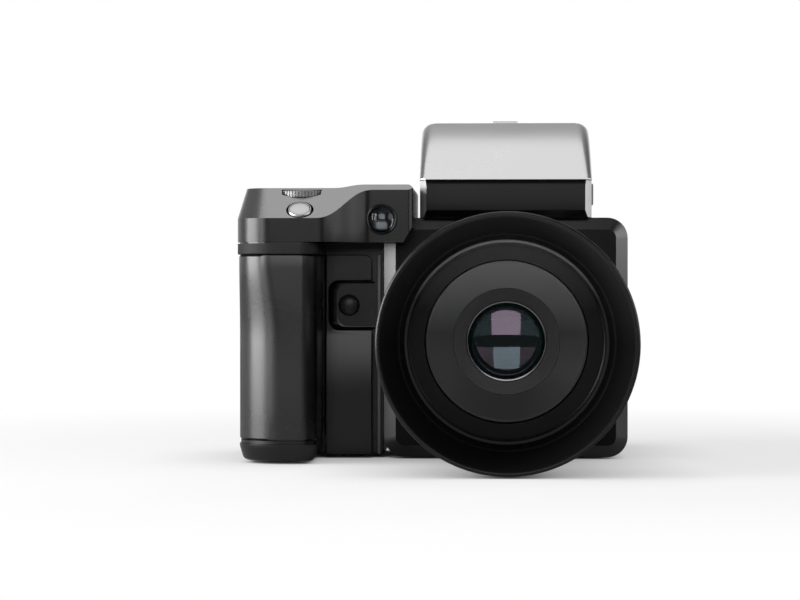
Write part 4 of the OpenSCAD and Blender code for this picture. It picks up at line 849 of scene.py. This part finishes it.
# Shutter button: a dished silver button let into the slope. It is turned from light alloy, anodised clear,
# and its stem runs down to the switch.
dish = [(0.45 - 0.35 * math.cos(turn), 3.9 * math.sin(turn)) for turn in turns(90, 0, -10)]
shutter = turned(
    "shutter_key",
    [(-6.6, 0.0), (-6.6, 1.8), (-4.0, 1.8), (-4.0, 4.6), (-3.9, 4.7), (-0.5, 4.7), (0.3, 4.35), (0.5, 4.2)]
    + [(0.5, 4.0)] + dish,
    BUTTON_AT, SLOPE_WAY, 72, False,
)
button_silver = make_finish(
    "button_silver", (0.46, 0.46, 0.465), (0.52, 0.52, 0.525), (0.26, 0.32), (5200.0, 0.000006), 1.0
)
fit(shutter, button_silver, "silver", "shutter_button", "shutter_button")

# Front and rear dials: knurled wheels that lie flat in slots of the cover, so that only a rim shows. Each is
# turned from light alloy, and its knurl is milled by pushing every other strip of the rim inwards.
KNURL = 0.35


def knurled(name, profile, at, way, deep, rim, teeth=48):
    """A turned wheel whose rim has every other strip of faces pushed in by deep millimetres."""
    wheel = turned(name, profile, at, way, 2 * teeth, True)
    way = Vector(way).normalized()
    side = way.orthogonal().normalized()
    across = way.cross(side)

    def is_groove(middle, normal):
        out = middle - Vector(at)
        out -= way * out.dot(way)
        turn = math.atan2(out.dot(across), out.dot(side)) / math.pi * teeth
        return out.length > rim and abs(normal.dot(way)) < 0.2 and int(math.floor(turn)) % 2 == 0

    pick(wheel, is_groove)
    bpy.ops.mesh.inset(thickness=0.03 * MM, use_individual=True)
    bpy.ops.transform.shrink_fatten(value=-deep * MM)
    start()
    return wheel


wheel_profile = [
    (-4.0, 0.6), (-4.0, 1.6), (0.0, 1.6), (0.0, 9.1), (0.35, 9.5), (2.45, 9.5), (2.8, 9.1), (2.8, 0.6)
]
front_wheel = knurled("front_wheel", wheel_profile, DIAL_AT, UP, KNURL, 9.3)
wheel_silver = make_finish(
    "wheel_silver", (0.22, 0.22, 0.222), (0.27, 0.27, 0.272), (0.34, 0.42), (4200.0, 0.000004), 0.5
)
fit(front_wheel, wheel_silver, "silver", "front_dial", "front_dial")
rear_profile = [
    (-4.0, 0.6), (-4.0, 1.6), (0.0, 1.6), (0.0, 8.0), (0.5, 8.5), (4.5, 8.5), (5.0, 8.0), (5.0, 0.6)
]
rear_wheel = knurled("rear_wheel", rear_profile, REAR_DIAL_AT, UP, KNURL, 8.3)
wheel_black = make_finish("wheel_black", 0.012, 0.02, (0.36, 0.44), (3600.0, 0.00002), worn=0.04)
fit(rear_wheel, wheel_black, "black_plastic", "rear_dial", "rear_dial")

# Thumb button: a dished button at the back of the hand housing, turned from light alloy and lacquered black
# as the lens release is. It is pressed into its well against a switch.
thumb = turned(
    "thumb_key", [(-1.7, 0.0), (-1.7, 3.4), (1.0, 3.4), (1.4, 3.0), (1.1, 2.0), (0.95, 0.0)],
    THUMB_AT, BEHIND, 64, False,
)
fit(thumb, button_black, "black_plastic", "thumb_button", "thumb_button")

# Focus lamp: a dark ring with a domed glass in the front of the cover, and behind the glass a black cup with
# the two pale windows of its lamp. The ring is turned, the glass moulded, the cup pressed in from behind.
lamp_ring = turned(
    "lamp_ring",
    [(-5.0, 5.0), (-5.0, 5.8), (0.4, 5.8), (0.7, 5.66), (0.8, 5.4), (0.7, 5.15), (0.4, 5.0)],
    LAMP_AT, AHEAD, 72,
)
ring_black = make_finish("ring_black", (0.04, 0.04, 0.041), (0.05, 0.05, 0.051), (0.2, 0.26), metal=0.9)
fit(lamp_ring, ring_black, "dark_paint", "camera", "lamp_bezel")
DOME_R = 8.0
lamp_dome = [(1.6 - DOME_R * (1 - math.cos(turn)), DOME_R * math.sin(turn)) for turn in turns(36, 0, -4)]
lamp_glass = turned(
    "lamp_glass", [(-1.6, 0.0), (-1.6, 4.85), (0.0, 4.85)] + lamp_dome, LAMP_AT, AHEAD, 64, False,
)
clear_glass = plain_finish(
    "clear_glass", Roughness=0.06, IOR=1.5, Transmission_Weight=1.0, Base_Color=(0.80, 0.84, 0.88, 1.0)
)
fit(lamp_glass, clear_glass, "glass", "camera", "lamp_lens")
lamp_cup = turned(
    "lamp_cup", [(-4.9, 0.0), (-4.9, 4.9), (-1.7, 4.9), (-1.7, 4.6), (-4.2, 4.2), (-4.2, 0.0)],
    LAMP_AT, AHEAD, 48, False,
)
fit(lamp_cup, matt_black, "black_plastic", "camera")
window_pale = make_finish(
    "window_pale", (0.34, 0.35, 0.36), (0.42, 0.43, 0.44), (0.3, 0.4), (1800.0, 0.00001)
)
for count, (wide, tall, up) in enumerate(((2.3, 1.7, 1.05), (3.6, 2.3, -1.9))):
    window = upright_slab(
        f"lamp_window_{count + 1}", round_rect(LAMP_AT.x, LAMP_AT.z + up, wide, tall, 0.5, 4),
        COVER_FACE_Y + 2.2, COVER_FACE_Y + 4.4,
    )
    soften(window, 0.15)
    fit(window, window_pale, "grey_paint", "camera")

# Finder tray: the cast lower half of the prism finder with the eyepiece block behind, lacquered black, with
# its front corners cut off and painted pale silver as painted highlights. It drops onto the box and is held
# by the latch.
FINDER_X = 33.5
FINDER_Y = -38.0
FINDER_REAR_Y = 30.0
BOX_TOP = 94.0
TRAY_Z = 108.7
ROOF_Z = 132.9
EYE_Z = 115.7
EYE_REAR_Y = 54.0
EYE_WIDE = 38.0
EYE_TALL = 26.0
EYE_R = 5.5
CORNER_CUT = 2.8
CUT_RUN = 8.0

tray_plan = [
    (-FINDER_X, FINDER_REAR_Y), (-FINDER_X, FINDER_Y + CUT_RUN), (-FINDER_X + CORNER_CUT, FINDER_Y),
    (FINDER_X - CORNER_CUT, FINDER_Y), (FINDER_X, FINDER_Y + CUT_RUN), (FINDER_X, FINDER_REAR_Y),
]
tray_side = [
    (FINDER_Y + 3.2, BOX_TOP), (FINDER_REAR_Y, BOX_TOP), (FINDER_REAR_Y, TRAY_Z), (FINDER_Y + 1.2, TRAY_Z),
    (FINDER_Y, TRAY_Z - 2.6), (FINDER_Y, BOX_TOP + 2.6),
]
tray = flat_slab("finder_tray", tray_plan, BOX_TOP, TRAY_Z)
carve(tray, sideways_slab("tray_side", tray_side, -40.0, 40.0), "INTERSECT")
eye_outline = round_rect(0.0, EYE_Z, EYE_WIDE, EYE_TALL, EYE_R)
carve(tray, upright_slab("eyepiece_block", eye_outline, 25.0, EYE_REAR_Y), "UNION")
soften(tray, 0.45, 3)
prism_low, prism_high = (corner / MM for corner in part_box("prism_glass"))
prism_room = flat_slab(
    "prism_room", box_of(-30.5, 30.5, prism_low.y - 0.5, prism_high.y + 0.5), prism_low.z - 0.1, ROOF_Z
)
carve(tray, prism_room)
light_shaft = flat_slab(
    "light_shaft", box_of(-27.0, 27.0, prism_low.y + 2.0, prism_high.y - 4.0), 93.0, 97.0
)
carve(tray, light_shaft)
EYE_AT = (0.0, EYE_REAR_Y, EYE_Z)
carve(tray, bore("eye_bore", EYE_AT, BEHIND, 34.0, 9.5))
carve(tray, bore("eye_seat", EYE_AT, BEHIND, 4.1, 10.6))
carve(tray, bore("sight_bore", (EYE_WIDE / 2, 46.0, EYE_Z), (1.0, 0.0, 0.0), 4.3, 1.65, 1.0, 32))
carve(tray, flat_slab("latch_pocket", box_of(29.5, 35.0, -15.3, -2.7), 99.2, 108.2))
tray_black = make_finish("tray_black", 0.003, 0.005, (0.20, 0.25), worn=0.03, specular=0.2)
corner_painted_highlight = make_finish(
    "corner_painted_highlight", (0.74, 0.74, 0.745), (0.80, 0.80, 0.805), (0.30, 0.36), metal=0.3
)
CORNER_WAY_X = 0.944


def on_cut_corner(at, way):
    """Faces of the two front corners that are cut off."""
    return abs(abs(way.x) - CORNER_WAY_X) < 0.05 and abs(way.z) < 0.2 and at.y < -30.5


tray.data.materials.append(tray_black)
# Painted highlight: the two cut corners are painted pale silver, standing in for the light they catch.
paint(tray, corner_painted_highlight, on_cut_corner)
fit(tray, tray_black, "dark_paint", "camera", "prism_housing")

# Finder roof: a pressed hood over the prism, painted silver as a painted reflection of the overhead light,
# gently crowned along its slope and rounded over its shoulders. It is drawn in section by section from side
# to side, hollowed below and screwed to the tray.
ROOF_FLAT_Y = -0.74
CROWN = 0.9
BROW = 1.3
CROWN_STEPS = 24
slope_line = Vector((ROOF_FLAT_Y - FINDER_Y, ROOF_Z - TRAY_Z))
slope_out = Vector((-slope_line.y, slope_line.x)).normalized()
SHOULDER_LOW = 2.2
SHOULDER_TOP = 5.5
SKIRT_Z = 100.0
SKIRT_SHARE = -0.15


def sunk(share, inboard):
    """How far the roof has dropped at a place inboard of its side, by the shoulder's radius there."""
    r = SHOULDER_LOW + (SHOULDER_TOP - SHOULDER_LOW) * max(0.0, share)
    out = max(0.0, r - inboard)
    return r - math.sqrt(r * r - out * out)


def roof_section(side, inboard):
    """Side outline of the roof at a place inboard of its left or right side."""
    line = []
    for count in range(CROWN_STEPS + 1):
        share = SKIRT_SHARE + (1.0 - SKIRT_SHARE) * count / CROWN_STEPS
        crown = (4.0 * CROWN * share + 6.75 * BROW * share * share) * (1.0 - share)
        point = Vector((FINDER_Y, TRAY_Z)) + slope_line * share + slope_out * (crown - sunk(share, inboard))
        line.append((point.x, point.y))
    line += [
        (FINDER_REAR_Y - 6.0, ROOF_Z - sunk(1.0, inboard)), (FINDER_REAR_Y, 126.7 - sunk(1.0, inboard)),
        (FINDER_REAR_Y, SKIRT_Z), (line[0][0], SKIRT_Z),
    ]
    return [(side * (FINDER_X - inboard), y, z) for y, z in line + line[:1]]


shoulder_steps = [0.0, 0.2, 0.6, 1.2, 2.2, 3.6, 5.5]
roof_sections = [roof_section(-1.0, step) for step in shoulder_steps]
roof_sections += [roof_section(1.0, step) for step in shoulder_steps[::-1]]
roof = loft_solid("finder_roof", roof_sections)
roof_plan = [
    (-FINDER_X, FINDER_REAR_Y + OVER), (-FINDER_X, FINDER_Y + 2.2), (3.5 - FINDER_X, FINDER_Y - OVER),
    (FINDER_X - 3.5, FINDER_Y - OVER), (FINDER_X, FINDER_Y + 2.2), (FINDER_X, FINDER_REAR_Y + OVER),
]
carve(roof, flat_slab("roof_plan", roof_plan, TRAY_Z, ROOF_Z + OVER), "INTERSECT")
roof_room = [(-33.59, TRAY_Z), (-35.13, TRAY_Z - OVER), (27.0, TRAY_Z - OVER), (27.0, 127.7), (-4.33, 127.7)]
carve(roof, sideways_slab("roof_room", roof_room, -31.1, 31.1))
GAP = 0.1
BEYOND_Y = FINDER_REAR_Y + OVER
gap_half = EYE_WIDE / 2 + GAP
gap_outline = round_rect(0.0, EYE_Z, EYE_WIDE + 2 * GAP, EYE_TALL + 2 * GAP, EYE_R + GAP)
carve(roof, upright_slab("eyepiece_gap", gap_outline, 24.9, BEYOND_Y))
carve(roof, flat_slab("eyepiece_step", box_of(-gap_half, gap_half, 25.0, BEYOND_Y), TRAY_Z - OVER, EYE_Z))
carve(roof, flat_slab("shoe_seat", box_of(-10.85, 10.85, 5.4, BEYOND_Y), 129.2, 134.0))
# Painted reflection: the roof is painted silver all over, standing in for the overhead light's reflection on
# its slope; the accessory shoe takes the same silver.
roof_silver_and_painted_sheen = make_finish(
    "roof_silver_and_painted_sheen", (0.58, 0.58, 0.585), (0.62, 0.62, 0.625), (0.26, 0.30), metal=0.9
)
fit(roof, roof_silver_and_painted_sheen, "silver", "camera", "prism_roof", crease=30.0)

# Finder fittings: the sprung accessory shoe, the latch, the sight correction knob and the eyepiece lens are
# small turned or stamped parts whose solids are right. The eyecup is a soft rubber frame, rounded all over.
dress("hot_shoe", roof_silver_and_painted_sheen, 0.2)
dress("finder_latch", wheel_silver, 0.5)
dress("diopter_knob", wheel_black)
dress("eyepiece_lens", clear_glass)
eye_frame = upright_slab("eye_frame", round_rect(0.0, EYE_Z, 42.0, 30.0, 8.0, 12), EYE_REAR_Y, 63.0)
carve(eye_frame, upright_slab("eye_opening", round_rect(0.0, EYE_Z, 30.0, 18.0, 6.0, 12), 53.0, 64.0))
soften(eye_frame, 2.0, 6, 60.0)
soft_rubber = make_finish("soft_rubber", 0.012, 0.02, (0.55, 0.68), (2600.0, 0.00006))
fit(eye_frame, soft_rubber, "rubber", "camera", "eyecup", crease=50.0)

# Digital back: a cast housing and rear cover with a glass screen, four keys, a card door and a steel locking
# slide. The castings are lacquered black and clipped onto the box, and all solids are right as they stand.
for name in ("back_housing", "back_cover", "card_door"):
    dress(name, black_lacquer, 0.6)
key_grey = make_finish("key_grey", (0.06, 0.06, 0.062), (0.08, 0.08, 0.082), (0.4, 0.5), (3000.0, 0.00002))
for count in range(1, 5):
    dress(f"back_key_{count}", key_grey, 0.4)
dress("back_latch", turned_steel, 0.4)
dress("screen_glass", display_black)

# Lens barrel: a turned light alloy tube, anodised black, with a groove for the hood's lugs, a filter thread
# at its mouth and the rear glass at its root. It is spun from one profile, and three ways for the lugs are
# milled into its front.
FRONT_Y = -33.0
AXIS_Z = 46.8
LENS_AT = Vector((0.0, FRONT_Y, AXIS_Z))
THREAD_TURNS = 6
PITCH = 0.75
thread = []
for turn in range(THREAD_TURNS):
    thread += [(64.6 - PITCH * turn, 36.0), (64.25 - PITCH * turn, 35.5)]
barrel_profile = (
    [(3.7, 21.0), (3.7, 37.2), (4.0, 37.5), (20.0, 37.5), (20.0, 36.4), (44.0, 36.4), (44.0, 39.2)]
    + [(44.3, 39.5), (55.0, 39.5), (55.0, 38.3), (58.0, 38.3), (58.0, 39.5), (64.6, 39.5), (65.0, 39.1)]
    + [(65.0, 36.3)] + thread + [(59.9, 36.0), (59.5, 36.0), (59.5, 30.1), (20.0, 30.1), (20.0, 21.0)]
)


def ring_part(outer, inner, middle, half):
    """Front outline of a part of a ring round the lens axis."""
    first = middle - half
    last = middle + half
    return arc(0.0, AXIS_Z, outer, first, last) + arc(0.0, AXIS_Z, inner, last, first)


barrel = turned("lens_tube", barrel_profile, LENS_AT, AHEAD, 144)
for turn in (45.0, 165.0, 285.0):
    way_in = ring_part(40.5, 38.4, turn, 13.0)
    carve(barrel, upright_slab("lug_way", way_in, FRONT_Y - 66.0, FRONT_Y - 56.5))
barrel_black = make_finish("barrel_black", 0.006, 0.010, (0.24, 0.3), worn=0.05)
# Painted shade: the rim face at the mouth and the floor inside it are painted lighter towards the top,
# standing in for light that reaches the upper half inside the hood.
rim_satin_painted_shade = make_finish(
    "rim_satin_painted_shade", (0.04, 0.04, 0.0405), (0.36, 0.36, 0.363), (0.30, 0.36), metal=0.8, painted_shade_fade=(62.0, 84.0)
)
mouth_painted_shade = make_finish(
    "mouth_painted_shade", 0.013, (0.115, 0.115, 0.116), (0.5, 0.6), specular=0.2, painted_shade_fade=(58.0, 82.0)
)
barrel.data.materials.append(barrel_black)
paint(barrel, rim_satin_painted_shade, lambda at, way: way.y < -0.5 and FRONT_Y - at.y > 64.0)
paint(barrel, mouth_painted_shade, lambda at, way: way.y < -0.5 and 59.0 < FRONT_Y - at.y < 60.0)
fit(barrel, barrel_black, "barrel_black", "camera", "lens_barrel")
dress("rear_element", clear_glass)

# Focus ring: a rubber covered ring that turns on the barrel, with raised ribs for the fingers. Its ribs are
# made by pushing every other strip of its face inwards.
grip_profile = [(20.3, 36.7), (20.3, 40.2), (20.7, 40.6), (43.3, 40.6), (43.7, 40.2), (43.7, 36.7)]
focus_grip = knurled("focus_grip", grip_profile, LENS_AT, AHEAD, 0.7, 40.4, 72)
fit(focus_grip, soft_rubber, "rubber", "focus_ring", "focus_ring")

# Front cell: the dished front of the lens, turned in satin black, stepped down to the glass in fine grooves
# that keep stray light out. A bright ring holds the glass in. The cell moves out as the focus ring turns.
STEP_COUNT = 7
STEP_R0 = 19.67
STEP_R1 = 15.2
STEP_U0 = 52.4
STEP_U1 = 48.4
terraces = []
for count in range(STEP_COUNT):
    r = STEP_R0 + (STEP_R1 - STEP_R0) * count / STEP_COUNT
    u = STEP_U0 + (STEP_U1 - STEP_U0) * count / STEP_COUNT
    next_u = STEP_U0 + (STEP_U1 - STEP_U0) * (count + 1) / STEP_COUNT
    terraces += [(u, r), (next_u + 0.1, r - 0.08)]
cell_profile = (
    [(28.35, 13.5), (28.35, 29.8), (56.7, 29.8), (57.0, 29.5), (57.0, 28.9), (56.9, 28.7), (53.3, 20.1)]
    + [(53.2, 19.75)] + terraces
    + [(STEP_U1, STEP_R1), (48.0, 15.1), (47.6, 14.1), (41.1, 14.1), (41.1, 13.5)]
)


def off_axis(at):
    """How a point lies off the lens axis."""
    return Vector((at.x, 0.0, at.z - AXIS_Z))


cell = turned("front_dish", cell_profile, LENS_AT, AHEAD, 144)
# Painted shade: the dish is painted lighter towards its top, standing in for light that falls on its upper
# half.
dish_satin_painted_shade = make_finish(
    "dish_satin_painted_shade", (0.048, 0.048, 0.049), (0.340, 0.340, 0.343), (0.44, 0.5), painted_shade_fade=(50.0, 80.0)
)
groove_black = make_finish("groove_black", (0.058, 0.058, 0.0585), (0.070, 0.070, 0.0705), (0.40, 0.46))
flock_black = make_finish("flock_black", 0.009, 0.012, (0.6, 0.7), specular=0.1)
cell.data.materials.append(dish_satin_painted_shade)
paint(cell, groove_black, lambda at, way: off_axis(at).length < 19.7)
paint(cell, flock_black, lambda at, way: off_axis(at).length < 14.3)
fit(cell, dish_satin_painted_shade, "barrel_black", "front_group", "front_cell")
glass_ring = turned(
    "glass_ring", [(47.0, 14.02), (47.2, 14.75), (48.15, 14.85), (48.3, 14.7), (48.2, 14.3), (47.7, 14.02)],
    LENS_AT, AHEAD, 144,
)
ring_bright = make_finish("ring_bright", (0.30, 0.30, 0.305), (0.36, 0.36, 0.365), (0.2, 0.26), metal=1.0)
fit(glass_ring, ring_bright, "steel", "front_group")

# Front glass: a ground and polished element with a purple coating in front and a green one behind, blackened
# round its edge. It is spun from the curves of its two faces and burnished into the cell.
GLASS_R = 14.0
VERTEX_U = 47.2
FRONT_CURVE = 45.0
BACK_CURVE = 260.0
BACK_U = 40.2
FACE_STEPS = 16


def face_curve(vertex, curve):
    """Points from the middle of a ground face to its edge."""
    radii = [GLASS_R * count / FACE_STEPS for count in range(FACE_STEPS + 1)]
    return [(vertex - math.copysign(abs(curve) - math.sqrt(curve * curve - r * r), curve), r) for r in radii]


glass_profile = face_curve(VERTEX_U, FRONT_CURVE) + face_curve(BACK_U, -BACK_CURVE)[::-1]
front_glass = turned("front_glass", glass_profile, LENS_AT, AHEAD, 96, False)
coated_glass = plain_finish(
    "coated_glass", Roughness=0.02, IOR=1.9, Transmission_Weight=1.0, Specular_IOR_Level=1.0,
    Base_Color=(0.54, 1.0, 0.88, 1.0), Specular_Tint=(1.0, 0.74, 1.0, 1.0),
)
front_glass.data.materials.append(coated_glass)
paint(front_glass, flock_black, lambda at, way: abs(way.y) < 0.2)
fit(front_glass, coated_glass, "coated_glass", "front_group", "front_element", crease=30.0)

# Lens hood: a deep moulded hood that twists onto the barrel by three lugs, satin outside, dull black inside,
# with a soft rolled lip. It is spun from one profile and the lugs are joined on.
LIP_U = 104.0
LIP_R = 45.3
hood_lip = [(LIP_U + math.sin(turn), LIP_R + math.cos(turn)) for turn in turns(0, 180, 15)]
hood_profile = (
    [(48.0, 39.8), (48.0, 42.1), (48.3, 42.4), (58.0, 42.4), (66.0, 44.2), (74.5, LIP_R), (90.0, 45.9)]
    + hood_lip + [(76.5, 39.35), (76.2, 38.6), (66.5, 37.3), (65.3, 37.3), (65.3, 39.8)]
)
hood = turned("sun_hood", hood_profile, LENS_AT, AHEAD, 192)
for turn in (0.0, 120.0, 240.0):
    lug = ring_part(40.4, 38.6, turn, 10.0)
    carve(hood, upright_slab("hood_lug", lug, FRONT_Y - 57.7, FRONT_Y - 55.3), "UNION")
hood_black = make_finish("hood_black", 0.006, 0.010, (0.24, 0.30), worn=0.03, specular=0.4)
# Painted shade: the inside of the hood is painted lighter towards the top, standing in for light that falls
# on its upper half.
hood_dull_painted_shade = make_finish(
    "hood_dull_painted_shade", 0.003, (0.025, 0.025, 0.0252), (0.6, 0.7), specular=0.12, painted_shade_fade=(46.0, 92.0)
)
hood.data.materials.append(hood_black)


def inside_hood(at, way):
    """Faces of the hood that look inwards."""
    return off_axis(at).normalized().dot(way) < -0.2 and FRONT_Y - at.y > 65.0


paint(hood, hood_dull_painted_shade, inside_hood)
fit(hood, hood_black, "barrel_black", "hood", "lens_hood")
